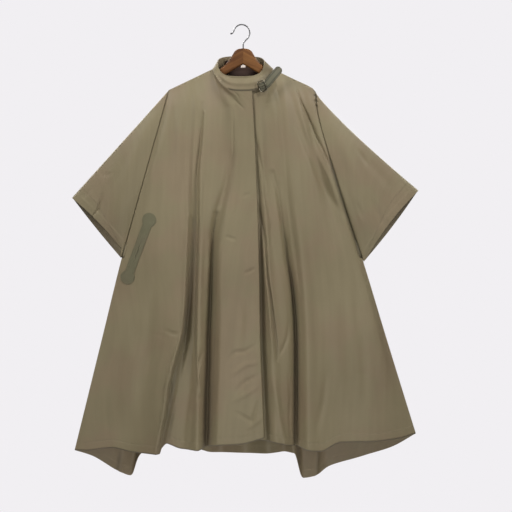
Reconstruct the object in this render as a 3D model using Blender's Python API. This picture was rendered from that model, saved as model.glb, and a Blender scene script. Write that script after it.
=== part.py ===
"""A waterproof cotton cape with wing sleeves, hung on a wooden hanger.

Metres, +Z up. The hook's crown rests on its rail at the world origin. The front faces -Y and
the wearer's right side lies at -X. Tables are in millimetres and lie in the hanger's own frame,
whose Z axis runs up the hook's stem.
"""

import math
from typing import NamedTuple

import bmesh
import bpy
import numpy as np

MM = 0.001

# Cloth
WALL = 1.5
SEAM_GAP = 0.3
SHOULDER_SEAM = 0.5
SLEEVE_SEAM = 0.9
COLLAR_SEAM = 1.8
LAID_ON = 0.7

# Levels of the fold tables, measured down from the hook's crown
YOKE = -229
CHEST = -418
UNDERARM = -626
HIP = -850
UNDERARM_LEVEL = 3
LEVEL_ROWS = np.array([0, 0.012, 0.045, 0.1, 0.25, 0.5, 0.75, 1, 1.35, 1.7, 2.05, 2.4, 2.7, 3,
                       3.4, 3.8, 4.2, 4.6, 5])

# Grid columns from one fold to the next
FRONT_STEPS = 3
BACK_STEPS = 2

# The cloth rolls over the hanger's arm along the shoulder seam
ROLL_DEPTH = 9
ROLL_HEIGHT = 8
SHOULDER_LINE = ((-200, -175), (-83, -119), (81, -119), (143, -149), (172, -162), (188, -171), (197, -181))

# Neck seam and collar, as rings seen from above: half width, half depth
NECK_MIDDLE = -1
NECK_HALF_WIDTH = 82
NECK_HALF_DEPTH = 50
NECK_SQUARENESS = 0.6
NECK_SIDE_HEIGHT = -119
NECK_FRONT_DROP = 63
NECK_DROP_POWER = 2
OVERLAP_SWELL = 5
SWELL_FROM = 560
SWELL_TO = 620
COLLAR_TOP_MIDDLE = -6
COLLAR_TOP_HALF_WIDTH = 62
COLLAR_TOP_HALF_DEPTH = 48
COLLAR_SIDE_HEIGHT = -97
COLLAR_BACK_RISE = 20
COLLAR_FRONT_DROP = 47
COLLAR_FROM = 276
COLLAR_TO = 670
COLLAR_END_COLUMNS = 4
COLLAR_ROWS = 5

# Sleeves, in the front view: the cuff's top corner and its lower end at the underarm
CUFF_TOP_RIGHT = (-462, -466)
CUFF_END_RIGHT = (-335, -622)
CUFF_TOP_LEFT = (473, -446)
CUFF_END_LEFT = (332, -626)
CUFF_HALF_DEPTH = 13
CUFF_EDGE_DEPTH = 1.2
CUFF_BACK_SAG = 12
SLEEVE_TOP_DIP_RIGHT = 0
SLEEVE_TOP_DIP_LEFT = 12
SLEEVE_BELLY = 7
SLEEVE_COLUMNS = 7

# Hand-slit patch on the right front: a band with a round lobe at each end
PATCH_UPPER = (-252, -526)
PATCH_LOWER = (-311, -680)
PATCH_LOBE_RADIUS = 19
PATCH_HALF_WIDTH = 12.5
PATCH_WALL = 1.0
PATCH_BLUNT = 0.7
PATCH_ROWS = 21
PATCH_COLUMNS = 5

# Label and size tab inside the back of the collar: angles round the ring, shares of its height
LABEL_ANGLES = (420, 480)
LABEL_HEIGHTS = (0.06, 0.72)
LABEL_WALL = 1.0
TAB_ANGLES = (448.6, 450.5)
TAB_HEIGHTS = (0.26, 0.46)
TAB_WALL = 1.0

# Collar strap and buckle: the route of the strap's middle line, from its sewn root to its tip
STRAP_ROUTE = ((26, -56.3, -171), (41, -55.6, -169), (56, -54.4, -163), (76, -48.5, -140), (97, -39, -116))
STRAP_FACING = (0.25, -1, 0.05)
STRAP_HALF_WIDTH = 10.5
STRAP_WALL = 2.0
STRAP_ROWS = 15
STRAP_COLUMNS = 4
BUCKLE_AT = 0.36
BUCKLE_LENGTH = 19
BUCKLE_WIDTH = 28
BUCKLE_WIRE = 2.6
BUCKLE_CORNER = 4
PRONG_WIRE = 2.0

# Hanger
STEM_OFFSET = 4
HOOK_WIRE = 3.6
HOOK_RADIUS = 21.7
HOOK_CENTRE = (-4, -19.9)
HOOK_STEM_END = -62.4
HOOK_TIP_ANGLE = 168
HOOK_TIP = (-34.5, -23.5)
HOOK_LEAVES = -22
HOOK_BEND = ((13, -34), (4.5, -43), (0, -51))
ARM_BEVEL = 0.55


class Fold(NamedTuple):
    """One line of a panel from its top edge to the hem, in millimetres.

    x has six places: top edge, yoke, chest, underarm, hip and hem. depth is the distance from
    the hanger's plane at the last five of them, and hem is the height of the hem's edge.
    """

    name: str
    hem: float
    x: tuple
    depth: tuple


class BlockSection(NamedTuple):
    """One cut across the hanger near its middle: place, heights and half thickness."""

    x: float
    top: float
    bottom: float
    half: float


class ArmSection(NamedTuple):
    """One cut across a hanger arm: place, fall below the shoulder seam, height and half thickness."""

    x: float
    below: float
    tall: float
    half: float


FRONT_RIGHT = (
    Fold("side seam", -1147, (-200, -215, -268, -327, -382, -455), (13, 17, 1, 1, 1)),
    Fold("side panel", -1149, (-181, -198, -243, -252, -257, -311), (22, 26, 22, 22, 20)),
    Fold("overlapping ridge", -1152, (-149, -146, -156, -150, -174, -226), (28, 36, 40, 50, 60)),
    Fold("deep trough", -1136, (-133, -126, -134, -133, -152, -202), (22, 26, 26, 30, 34)),
    Fold("recess", -1140, (-122, -114, -120, -125, -135, -161), (24, 30, 28, 28, 28)),
    Fold("lit ridge", -1143, (-105, -96, -100, -113, -119, -123), (28, 37, 41, 46, 50)),
    Fold("neck point", -1139, (-83, -60, -70, -96, -101, -109), (37, 40, 36, 34, 33)),
    Fold("neck turn", -1137, (-80, -50, -62, -91, -96, -105), (39, 40, 35, 31, 28)),
    Fold("groove", -1134, (-64, -28, -45, -80, -84, -95), (43, 41, 31, 23, 18)),
    Fold("middle edge", -1127, (-44, -4, -20, -56, -59, -68), (52, 52, 57, 62, 66)),
    Fold("middle", -1123, (-10, 12, 9, -6, -9, -7), (54, 53, 58, 64, 70)),
    Fold("closing edge", -1106, (25, 28, 37, 43, 47, 57.5), (54, 53, 58, 65, 71)),
)

FRONT_LEFT = (
    Fold("underlap edge", -1112, (0, 1, 7, 13, 18, 24), (45, 44, 47, 51, 54)),
    Fold("behind the closing", -1116, (22, 32, 41, 48, 54, 62), (41, 39, 41, 43, 46)),
    Fold("narrow ridge", -1122, (36, 47, 57, 65, 76, 90), (43, 45, 51, 55, 56)),
    Fold("narrow trough", -1126, (48, 60, 72, 82, 97, 109), (40, 40, 43, 46, 48)),
    Fold("plane", -1130, (60, 76, 88, 103, 119, 125), (38, 38, 39, 40, 38)),
    Fold("dark groove", -1133, (71, 90, 103, 125, 143, 144), (33, 32, 28, 22, 18)),
    Fold("neck turn", -1135, (78, 96, 111, 134, 151, 152), (33.5, 34, 33, 31, 28)),
    Fold("neck point", -1137, (81, 101, 117, 141, 157, 159), (34, 36, 38, 38, 36)),
    Fold("lit ridge", -1142, (98, 114, 132, 158, 172, 175), (36, 42, 49, 53, 55)),
    Fold("wave", -1145, (110, 131, 153, 183, 203, 209), (31, 36, 40, 43, 44)),
    Fold("front panel", -1122, (128, 154, 187, 224, 248, 264), (26, 29, 30, 32, 32)),
    Fold("armhole trough", -1121, (160, 172, 216, 275, 322, 345), (18, 13, 17, 24, 26)),
    Fold("armhole ridge", -1114, (182, 190, 237, 302, 364, 416), (17, 21, 12, 14, 14)),
    Fold("side seam", -1102, (197, 206, 253, 320, 388, 466), (13, 17, 1, 1, 1)),
)

BACK = (
    Fold("right side seam", -1147, (-200, -215, -268, -327, -382, -455), (13, 17, 1, 1, 1)),
    Fold("right edge", -1164, (-187, -203, -249, -300, -346, -410), (18, 24, 15, 15, 17)),
    Fold("right flap fold", -1212, (-172, -182, -216, -248, -280, -338), (25, 33, 33, 39, 45)),
    Fold("right flap tip", -1224, (-160, -166, -194, -221, -248, -309), (28, 38, 42, 51, 61)),
    Fold("right flap end", -1166, (-146, -148, -172, -196, -220, -283), (26, 31, 31, 34, 34)),
    Fold("right trough", -1154, (-128, -128, -146, -161, -176, -226), (24, 26, 24, 22, 18)),
    Fold("right ridge", -1160, (-105, -103, -114, -123, -132, -160), (32, 42, 48, 57, 63)),
    Fold("right neck point", -1158, (-83, -80, -86, -92, -98, -112), (37, 40, 40, 42, 42)),
    Fold("right neck quarter", -1157, (-70, -66, -70, -74, -79, -88), (41, 42, 40, 39, 36)),
    Fold("right inner trough", -1156, (-48, -46, -49, -52, -55, -60), (44, 42, 38, 34, 27)),
    Fold("middle ridge", -1164, (-1, 0, 0, 2, 4, 6), (51, 54, 58, 66, 72)),
    Fold("left inner trough", -1160, (46, 47, 51, 56, 60, 66), (44, 42, 38, 34, 28)),
    Fold("left neck quarter", -1158, (68, 67, 72, 78, 84, 92), (41, 42, 40, 39, 36)),
    Fold("left neck point", -1156, (81, 81, 88, 95, 102, 112), (37, 40, 42, 44, 42)),
    Fold("left trough", -1158, (99, 103, 113, 121, 128, 138), (29, 31, 28, 24, 20)),
    Fold("left flap tip", -1232, (116, 122, 135, 146, 154, 164), (30, 38, 46, 57, 68)),
    Fold("left flap ridge", -1226, (128, 135, 151, 167, 179, 196), (28, 36, 43, 52, 62)),
    Fold("left flap fall", -1196, (143, 152, 174, 195, 210, 232), (25, 30, 32, 36, 36)),
    Fold("left edge ridge", -1168, (163, 177, 212, 251, 285, 325), (21, 28, 31, 36, 40)),
    Fold("left edge", -1140, (183, 194, 236, 293, 347, 404), (17, 22, 17, 19, 20)),
    Fold("left side seam", -1102, (197, 206, 253, 320, 388, 466), (13, 17, 1, 1, 1)),
)

HANGER_MIDDLE = (
    BlockSection(0, -62.4, -106, 8.0),
    BlockSection(12, -64.0, -112, 8.0),
    BlockSection(22, -69.5, -118, 7.8),
    BlockSection(29, -80.0, -122, 7.4),
    BlockSection(37, -93.0, -127, 7.0),
    BlockSection(50, -107.5, -135, 6.6),
    BlockSection(66, -120.0, -144, 6.2),
    BlockSection(82, -127.5, -152, 6.0),
)

HANGER_ARM = (
    ArmSection(100, 1.9, 25, 6.0),
    ArmSection(143, 1.9, 24, 6.0),
    ArmSection(165, 1.9, 22, 5.6),
    ArmSection(178, 3.0, 17, 4.8),
    ArmSection(188, 5.0, 8, 3.0),
)

COLOURS = {
    "cloth": ((0.195, 0.158, 0.102), 0.6, 0.0),
    "patch": ((0.138, 0.130, 0.076), 0.65, 0.0),
    "strap": ((0.156, 0.150, 0.098), 0.6, 0.0),
    "label": ((0.032, 0.014, 0.008), 0.7, 0.0),
    "size_tab": ((0.72, 0.68, 0.60), 0.7, 0.0),
    "wood": ((0.150, 0.062, 0.024), 0.4, 0.0),
    "steel": ((0.300, 0.300, 0.310), 0.3, 1.0),
    "buckle": ((0.120, 0.110, 0.090), 0.35, 1.0),
}


def smooth_step(t):
    """Run from 0 to 1 with level ends."""
    t = np.clip(t, 0, 1)
    return t * t * (3 - 2 * t)


def read_smoothly(values, places):
    """Read values given at 0, 1, 2 and so on along the first axis at the places between them.

    A cubic joins neighbours. It is level at each high or low value, so nothing is overshot.
    """
    values = np.asarray(values, dtype=float)
    places = np.asarray(places, dtype=float)
    steps = np.diff(values, axis=0)
    product = steps[:-1] * steps[1:]
    total = np.where(product > 0, steps[:-1] + steps[1:], 1)
    inner = np.where(product > 0, 2 * product / total, 0)
    slopes = np.concatenate([steps[:1], inner, steps[-1:]])
    index = np.clip(places.astype(int), 0, len(values) - 2)
    t = (places - index).reshape((-1,) + (1,) * (values.ndim - 1))
    square = t * t
    cube = square * t
    return ((2 * cube - 3 * square + 1) * values[index] + (cube - 2 * square + t) * slopes[index]
            + (3 * square - 2 * cube) * values[index + 1] + (cube - square) * slopes[index + 1])


def signed_power(values, power):
    """Raise the size of each value to a power and keep its sign."""
    return np.sign(values) * np.abs(values) ** power


def swell(angle):
    """Outward step of the neck seam and collar where the right front lies over the left one."""
    return OVERLAP_SWELL * smooth_step((angle - SWELL_FROM) / (SWELL_TO - SWELL_FROM))


def neck_ring(angle):
    """Points of the neck seam. 360 is the left shoulder, 450 the back, 540 the right, 630 the front."""
    turn = np.radians(angle)
    out = 1 + swell(angle) / NECK_HALF_DEPTH
    x = NECK_MIDDLE + NECK_HALF_WIDTH * signed_power(np.cos(turn), NECK_SQUARENESS)
    y = NECK_HALF_DEPTH * np.sin(turn) * out
    drop = NECK_FRONT_DROP * np.clip(-np.sin(turn), 0, 1) ** NECK_DROP_POWER
    return np.stack([x, y, NECK_SIDE_HEIGHT - drop], axis=-1)


def neck_angle(x):
    """Angle from 270 to 360 or from 180 to 270 at which the front of the neck seam has this x."""
    share = np.clip((x - NECK_MIDDLE) / NECK_HALF_WIDTH, -1, 1)
    return 360 - np.degrees(np.arccos(signed_power(share, 1 / NECK_SQUARENESS)))


def collar_ring(angle):
    """Points of the collar's top edge at the angles of the neck seam."""
    turn = np.radians(angle)
    out = 1 + swell(angle) / COLLAR_TOP_HALF_DEPTH
    x = COLLAR_TOP_MIDDLE + COLLAR_TOP_HALF_WIDTH * signed_power(np.cos(turn), NECK_SQUARENESS)
    y = COLLAR_TOP_HALF_DEPTH * np.sin(turn) * out
    rise = COLLAR_BACK_RISE * np.clip(np.sin(turn), 0, 1) ** 0.6
    drop = COLLAR_FRONT_DROP * np.clip(-np.sin(turn), 0, 1) ** 0.8
    return np.stack([x, y, COLLAR_SIDE_HEIGHT + rise - drop], axis=-1)


def collar_surface(angles, shares, out=0.0):
    """Grid of collar points at these angles and shares of its height, moved out from its middle."""
    foot = neck_ring(angles)
    foot[:, 2] += COLLAR_SEAM
    top = collar_ring(angles)
    turn = np.radians(angles)
    away = np.stack([np.cos(turn) / COLLAR_TOP_HALF_WIDTH, np.sin(turn) / COLLAR_TOP_HALF_DEPTH,
                     np.zeros_like(turn)], axis=-1)
    away /= np.linalg.norm(away, axis=1, keepdims=True)
    share = np.asarray(shares)[None, :, None]
    return foot[:, None] * (1 - share) + top[:, None] * share + out * away[:, None]


def shoulder_height(x):
    """Height of the shoulder seam at x."""
    places, heights = zip(*SHOULDER_LINE)
    return np.interp(x, places, heights)


def fold_places(folds, steps):
    """Places of the grid columns: every fold, with even steps between neighbours."""
    return np.linspace(0, len(folds) - 1, (len(folds) - 1) * steps + 1)


def neck_columns(folds, steps):
    """Front angles of the neck seam at the grid columns that end on it."""
    top_x = read_smoothly([fold.x[0] for fold in folds], fold_places(folds, steps))
    return neck_angle(top_x[np.abs(top_x - NECK_MIDDLE) <= NECK_HALF_WIDTH])


def collar_angles():
    """Angles of the collar's columns: those of the panels it is sewn to, then its free end."""
    left = neck_columns(FRONT_LEFT, FRONT_STEPS)
    back = 720 - neck_columns(BACK, BACK_STEPS)
    right = 360 + neck_columns(FRONT_RIGHT, FRONT_STEPS)
    free_end = np.linspace(right.max(), COLLAR_TO, COLLAR_END_COLUMNS)
    angles = np.unique(np.round(np.concatenate([left, back, right, free_end]), 4))
    return angles[angles > COLLAR_FROM]


def panel_surface(folds, facing, columns, levels, overlapping):
    """Grid of points on a panel, at places counted in folds and in levels.

    facing is -1 for a front and +1 for the back. The top edge is the shoulder seam, or the neck
    seam where it lies within the neck's width, and rolls over the hanger's arm.
    """
    heights = [(shoulder_height(fold.x[0]), YOKE, CHEST, UNDERARM, HIP, fold.hem) for fold in folds]
    depths = [(ROLL_DEPTH,) + fold.depth for fold in folds]
    table = np.stack([[fold.x for fold in folds], depths, heights], axis=-1)
    table = read_smoothly(table, columns)
    top_x = table[:, 0, 0]
    angle = neck_angle(top_x)
    ring = neck_ring(angle + (360 if overlapping else 0) if facing < 0 else 360 - angle)
    on_neck = np.abs(top_x - NECK_MIDDLE) < NECK_HALF_WIDTH
    edge_depth = np.where(on_neck, np.maximum(np.abs(ring[:, 1]), SHOULDER_SEAM), SHOULDER_SEAM)
    table[:, 0, 1] = np.maximum(edge_depth, ROLL_DEPTH)
    table[:, 0, 2] = np.where(on_neck, ring[:, 2], shoulder_height(top_x))
    grid = np.moveaxis(read_smoothly(np.moveaxis(table, 1, 0), levels), 0, 1)
    fall = np.clip((grid[:, :1, 2] - grid[:, :, 2]) / ROLL_HEIGHT, 0, 1)
    roll = np.sqrt(1 - (1 - fall) ** 2)
    depth = grid[:, :, 1] - (table[:, :1, 1] - edge_depth[:, None]) * (1 - roll)
    return np.stack([grid[:, :, 0], facing * depth, grid[:, :, 2]], axis=-1)


def sleeve_surface(front_edge, back_edge, cuff_top, cuff_end, top_dip):
    """Grid of rings from the armhole to the cuff, each running down the front and up the back.

    top_dip is how far the top fold sags below the straight line to the cuff.
    """
    share = LEVEL_ROWS[:len(front_edge)] / UNDERARM_LEVEL
    along = np.linspace(0, 1, SLEEVE_COLUMNS)[:, None, None]
    top = np.array([cuff_top[0], 0, cuff_top[1]])
    end = np.array([cuff_end[0], 0, cuff_end[1]])
    armhole = np.array([front_edge[-1, 0] - front_edge[0, 0], 0, front_edge[-1, 2] - front_edge[0, 2]])
    away = np.array([armhole[2], 0, -armhole[0]]) / np.linalg.norm(armhole)
    away *= math.copysign(1, away[0] * cuff_top[0])
    cuff_line = top + (end - top) * share[:, None]
    fall = np.clip(share * np.linalg.norm(end - top) / ROLL_HEIGHT, 0, 1)
    round_top = np.sqrt(1 - (1 - fall) ** 2)
    depth = round_top * (CUFF_EDGE_DEPTH + CUFF_HALF_DEPTH * np.sin(np.pi * (0.25 + 0.75 * share)))
    belly = SLEEVE_BELLY * np.sin(np.pi * along[:, :, 0]) * np.sin(np.pi * share) * round_top
    dip = top_dip * 2.6 * np.sqrt(along[:, :, 0]) * (1 - along[:, :, 0]) * (1 - share) ** 2
    layers = []
    for facing, edge, sag in ((-1, front_edge, 0), (1, back_edge, CUFF_BACK_SAG)):
        cuff = cuff_line + away * (sag * np.sin(np.pi * share))[:, None]
        cuff[:, 1] = facing * depth
        layer = (edge + away * SLEEVE_SEAM) * (1 - along) + cuff * along
        layer[:, :, 1] += facing * belly
        layer[:, :, 2] -= dip
        layer[:, 0, 1] = 0
        layers.append(layer)
    return np.concatenate([layers[0], layers[1][:, :0:-1]], axis=1)


def make_material(name):
    """Principled finish from the colour table."""
    colour, roughness, metallic = COLOURS[name]
    material = bpy.data.materials.new(name)
    material.use_nodes = True
    shader = material.node_tree.nodes["Principled BSDF"]
    shader.inputs["Base Color"].default_value = (*colour, 1)
    shader.inputs["Roughness"].default_value = roughness
    shader.inputs["Metallic"].default_value = metallic
    return material


def add_object(name, data, finish, parent):
    """Link an object that holds this data, give it its finish and hang it on the parent."""
    made = bpy.data.objects.new(name, data)
    bpy.context.scene.collection.objects.link(made)
    material = bpy.data.materials.get(finish) or make_material(finish)
    data.materials.append(material)
    made.parent = parent
    return made


def grid_faces(columns, rows, closed):
    """Quads of a grid, with its last row joined to the first where it is closed."""
    quads = []
    for column in range(columns - 1):
        for row in range(rows if closed else rows - 1):
            after = (row + 1) % rows
            quads.append((column * rows + row, (column + 1) * rows + row,
                          (column + 1) * rows + after, column * rows + after))
    return quads


def add_cloth(name, grid, wall, finish, parent, closed=False):
    """Cloth wall on a grid of its middle points."""
    mesh = bpy.data.meshes.new(name)
    points = (grid.reshape(-1, 3) * MM).tolist()
    mesh.from_pydata(points, [], grid_faces(grid.shape[0], grid.shape[1], closed))
    mesh.shade_smooth()
    made = add_object(name, mesh, finish, parent)
    thick = made.modifiers.new("wall", "SOLIDIFY")
    thick.thickness = wall * MM
    thick.offset = 0
    return made


def add_wire(name, points, diameter, finish, parent, closed=False):
    """Round wire along a route."""
    curve = bpy.data.curves.new(name, "CURVE")
    curve.dimensions = "3D"
    curve.bevel_depth = diameter / 2 * MM
    curve.bevel_resolution = 2
    curve.use_fill_caps = True
    spline = curve.splines.new("POLY")
    spline.points.add(len(points) - 1)
    for target, point in zip(spline.points, points):
        target.co = (*(np.asarray(point) * MM), 1)
    spline.use_cyclic_u = closed
    return add_object(name, curve, finish, parent)


def add_loft(name, sections, finish, parent):
    """Closed solid through rings of points."""
    shape = bmesh.new()
    rings = [[shape.verts.new(tuple(point * MM)) for point in ring] for ring in sections]
    for ring, after in zip(rings, rings[1:]):
        for i in range(len(ring)):
            k = (i + 1) % len(ring)
            shape.faces.new((ring[i], ring[k], after[k], after[i]))
    shape.faces.new(rings[0])
    shape.faces.new(rings[-1])
    bmesh.ops.recalc_face_normals(shape, faces=shape.faces)
    mesh = bpy.data.meshes.new(name)
    shape.to_mesh(mesh)
    shape.free()
    mesh.shade_smooth()
    mesh.set_sharp_from_angle(angle=math.radians(50))
    return add_object(name, mesh, finish, parent)


def build_panels(parent):
    """Two fronts and the back. Returns their grids by name."""
    grids = {}
    for name, folds, facing, steps, overlapping in (
            ("front_right", FRONT_RIGHT, -1, FRONT_STEPS, True),
            ("front_left", FRONT_LEFT, -1, FRONT_STEPS, False),
            ("back", BACK, 1, BACK_STEPS, False)):
        grids[name] = panel_surface(folds, facing, fold_places(folds, steps), LEVEL_ROWS, overlapping)
        add_cloth(name, grids[name], WALL, "cloth", parent)
    return grids


def build_sleeves(grids, parent):
    """Wing sleeves from the panels' armhole edges."""
    rows = int(np.searchsorted(LEVEL_ROWS, UNDERARM_LEVEL)) + 1
    right = sleeve_surface(grids["front_right"][0, :rows], grids["back"][0, :rows],
                           CUFF_TOP_RIGHT, CUFF_END_RIGHT, SLEEVE_TOP_DIP_RIGHT)
    left = sleeve_surface(grids["front_left"][-1, :rows], grids["back"][-1, :rows],
                          CUFF_TOP_LEFT, CUFF_END_LEFT, SLEEVE_TOP_DIP_LEFT)
    add_cloth("sleeve_right", right, WALL, "cloth", parent, closed=True)
    add_cloth("sleeve_left", left, WALL, "cloth", parent, closed=True)


def build_collar(parent):
    """Stand collar whose right end lies over its left one, with the label and size tab inside."""
    grid = collar_surface(collar_angles(), np.linspace(0, 1, COLLAR_ROWS))
    add_cloth("collar", grid, WALL, "cloth", parent)
    label_in = -(WALL / 2 + LAID_ON + LABEL_WALL / 2)
    tab_in = label_in - LABEL_WALL / 2 - LAID_ON - TAB_WALL / 2
    label = collar_surface(np.linspace(*LABEL_ANGLES, 10), np.linspace(*LABEL_HEIGHTS, 3), label_in)
    add_cloth("neck_label", label, LABEL_WALL, "label", parent)
    tab = collar_surface(np.linspace(*TAB_ANGLES, 3), np.linspace(*TAB_HEIGHTS, 2), tab_in)
    add_cloth("size_tab", tab, TAB_WALL, "size_tab", parent)


def point_on_front(x, z):
    """Points of the right front with these front-view places, and the directions out of it."""
    dense = panel_surface(FRONT_RIGHT, -1, fold_places(FRONT_RIGHT, FRONT_STEPS), LEVEL_ROWS, True)
    along = np.gradient(dense, axis=0)
    down = np.gradient(dense, axis=1)
    out = np.cross(along, down)
    out *= -np.sign(out[..., 1:2]) / np.linalg.norm(out, axis=-1, keepdims=True)
    found = np.empty((len(x), 6))
    for i, place in enumerate(zip(x, z)):
        strips = []
        for column, normals in zip(dense, out):
            heights = column[::-1, 2]
            strips.append([np.interp(place[1], heights, column[::-1, k]) for k in range(3)]
                          + [np.interp(place[1], heights, normals[::-1, k]) for k in range(3)])
        strips = np.array(strips)
        found[i] = [np.interp(place[0], strips[:, 0], strips[:, k]) for k in range(6)]
    return found[:, :3], found[:, 3:]


def build_patch(parent):
    """Hand-slit patch, laid on the right front."""
    upper = np.array(PATCH_UPPER, dtype=float)
    lower = np.array(PATCH_LOWER, dtype=float)
    length = np.linalg.norm(lower - upper) + 2 * PATCH_LOBE_RADIUS
    along = (lower - upper) / np.linalg.norm(lower - upper)
    across = np.array([-along[1], along[0]])
    turn = np.linspace(0, np.pi, PATCH_ROWS)
    reach = length / 2 - PATCH_BLUNT
    station = length / 2 - reach * np.cos(turn)
    to_end = np.minimum(station, length - station)
    lobe = np.sqrt(np.maximum(PATCH_LOBE_RADIUS ** 2 - (to_end - PATCH_LOBE_RADIUS) ** 2, 0))
    half = np.where(to_end < PATCH_LOBE_RADIUS, lobe, np.maximum(lobe, PATCH_HALF_WIDTH))
    spread = np.linspace(-1, 1, PATCH_COLUMNS)
    start = upper - along * PATCH_LOBE_RADIUS
    flat = (start + along * station[:, None])[:, None] + across * (half[:, None] * spread)[..., None]
    points, out = point_on_front(flat[..., 0].ravel(), flat[..., 1].ravel())
    moved = points + out * (WALL / 2 + LAID_ON + PATCH_WALL / 2)
    add_cloth("hand_slit_patch", moved.reshape(PATCH_ROWS, PATCH_COLUMNS, 3), PATCH_WALL, "patch", parent)


def strap_frame():
    """Middle line of the strap with its lengthwise, sideways and outward directions."""
    line = read_smoothly(np.array(STRAP_ROUTE), np.linspace(0, len(STRAP_ROUTE) - 1, STRAP_ROWS))
    ahead = np.gradient(line, axis=0)
    ahead /= np.linalg.norm(ahead, axis=1, keepdims=True)
    side = np.cross(ahead, np.array(STRAP_FACING))
    side /= np.linalg.norm(side, axis=1, keepdims=True)
    return line, ahead, side, np.cross(side, ahead)


def build_strap(parent):
    """Collar strap with its rounded tip, and the fastened buckle on it."""
    line, ahead, side, out = strap_frame()
    run = np.concatenate([[0], np.cumsum(np.linalg.norm(np.diff(line, axis=0), axis=1))])
    to_tip = np.clip(run[-1] - run + 0.5, 0, STRAP_HALF_WIDTH)
    half = np.sqrt(STRAP_HALF_WIDTH ** 2 - (STRAP_HALF_WIDTH - to_tip) ** 2)
    spread = np.linspace(-1, 1, STRAP_COLUMNS)
    grid = line[:, None] + side[:, None] * (half[:, None] * spread)[..., None]
    add_cloth("collar_strap", grid, STRAP_WALL, "strap", parent)
    at = int(BUCKLE_AT * (STRAP_ROWS - 1))
    lift = STRAP_WALL / 2 + LAID_ON + BUCKLE_WIRE / 2
    centre = line[at] + out[at] * lift
    corners = []
    for quarter in range(4):
        for turn in np.radians(np.array([0, 45, 90]) + 90 * quarter):
            sign_x = math.copysign(1, math.cos(math.radians(45 + 90 * quarter)))
            sign_y = math.copysign(1, math.sin(math.radians(45 + 90 * quarter)))
            corners.append((sign_x * (BUCKLE_LENGTH / 2 - BUCKLE_CORNER) + BUCKLE_CORNER * math.cos(turn),
                            sign_y * (BUCKLE_WIDTH / 2 - BUCKLE_CORNER) + BUCKLE_CORNER * math.sin(turn)))
    frame = [centre + ahead[at] * a + side[at] * b for a, b in corners]
    add_wire("buckle_frame", frame, BUCKLE_WIRE, "buckle", parent, closed=True)
    over = (BUCKLE_WIRE + PRONG_WIRE) / 2 + SEAM_GAP
    reach = BUCKLE_LENGTH / 2 + BUCKLE_WIRE / 2
    prong = [centre + ahead[at] * a + out[at] * over for a in (-reach, 0, reach)]
    add_wire("buckle_prong", prong, PRONG_WIRE, "buckle", parent)


def hook_route():
    """Middle line of the hook's wire, from its foot round the crown to the flared tip."""
    turn = np.radians(np.linspace(HOOK_LEAVES, HOOK_TIP_ANGLE, 19))
    loop = np.array(HOOK_CENTRE) + HOOK_RADIUS * np.stack([np.cos(turn), np.sin(turn)], axis=-1)
    ends = np.array([(0, HOOK_STEM_END)] + list(HOOK_BEND[::-1]))
    bend = np.concatenate([ends, loop[:1]])
    bend = read_smoothly(bend, np.linspace(0, len(bend) - 1, 13))[:-1]
    tip_middle = (loop[-1] + np.array(HOOK_TIP)) / 2 + np.array((1.2, -1.2))
    flat = np.concatenate([bend, loop, [tip_middle, HOOK_TIP]])
    return np.stack([flat[:, 0], np.zeros(len(flat)), flat[:, 1]], axis=-1)


def build_hanger(parent):
    """Wire hook and the two wooden halves that meet at the stem."""
    add_wire("hanger_hook", hook_route(), HOOK_WIRE, "steel", parent)
    around = np.radians(np.arange(0, 360, 30) + 15)
    for name, side in (("hanger_right", -1), ("hanger_left", 1)):
        cuts = [(max(cut.x, SEAM_GAP / 2), cut.top, cut.bottom, cut.half) for cut in HANGER_MIDDLE]
        for cut in HANGER_ARM:
            top = shoulder_height(side * cut.x) - cut.below
            cuts.append((cut.x, top, top - cut.tall, cut.half))
        rings = []
        for x, top, bottom, half in cuts:
            y = half * signed_power(np.cos(around), ARM_BEVEL)
            z = (top + bottom) / 2 + (top - bottom) / 2 * signed_power(np.sin(around), ARM_BEVEL)
            rings.append(np.stack([np.full_like(y, side * x), y, z], axis=-1))
        add_loft(name, rings, "wood", parent)


def main():
    """Clear the scene and build every piece round the hanger's frame."""
    for old in list(bpy.data.objects):
        bpy.data.objects.remove(old, do_unlink=True)
    root = bpy.data.objects.new("cape_on_hanger", None)
    root.location = (STEM_OFFSET * MM, 0, 0)
    bpy.context.scene.collection.objects.link(root)
    grids = build_panels(root)
    build_sleeves(grids, root)
    build_collar(root)
    build_patch(root)
    build_strap(root)
    build_hanger(root)


main()
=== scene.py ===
"""Looks of a waterproof cotton cape that hangs on a wooden hanger.

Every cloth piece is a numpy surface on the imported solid's own form, read from the same fold
tables at a finer step, with the creases of the hung cloth pressed into it. Tables are in
millimetres in the hanger's frame, and meshes are in metres in the part's frame.
"""

from __future__ import annotations

import logging
import math
from dataclasses import dataclass, field
from enum import Enum
from typing import NamedTuple, Sequence

import bmesh
import bpy
import numpy as np
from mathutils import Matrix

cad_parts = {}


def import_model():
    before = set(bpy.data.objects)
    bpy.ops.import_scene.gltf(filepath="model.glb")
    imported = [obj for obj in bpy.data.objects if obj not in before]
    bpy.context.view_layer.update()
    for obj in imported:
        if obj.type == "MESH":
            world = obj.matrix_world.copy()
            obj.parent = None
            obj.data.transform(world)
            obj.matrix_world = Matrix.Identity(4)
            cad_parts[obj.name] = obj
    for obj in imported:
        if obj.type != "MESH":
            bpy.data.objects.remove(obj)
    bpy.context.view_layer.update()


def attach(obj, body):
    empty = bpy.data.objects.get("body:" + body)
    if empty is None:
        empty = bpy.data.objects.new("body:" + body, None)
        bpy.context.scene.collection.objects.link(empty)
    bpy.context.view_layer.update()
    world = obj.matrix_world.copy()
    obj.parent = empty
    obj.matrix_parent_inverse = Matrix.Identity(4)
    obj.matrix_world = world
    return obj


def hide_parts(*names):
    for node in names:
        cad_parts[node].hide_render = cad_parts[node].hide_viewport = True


LOG = logging.getLogger("cape")
MM = 0.001
STEM_OFFSET = 4.0
Array = np.ndarray

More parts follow.
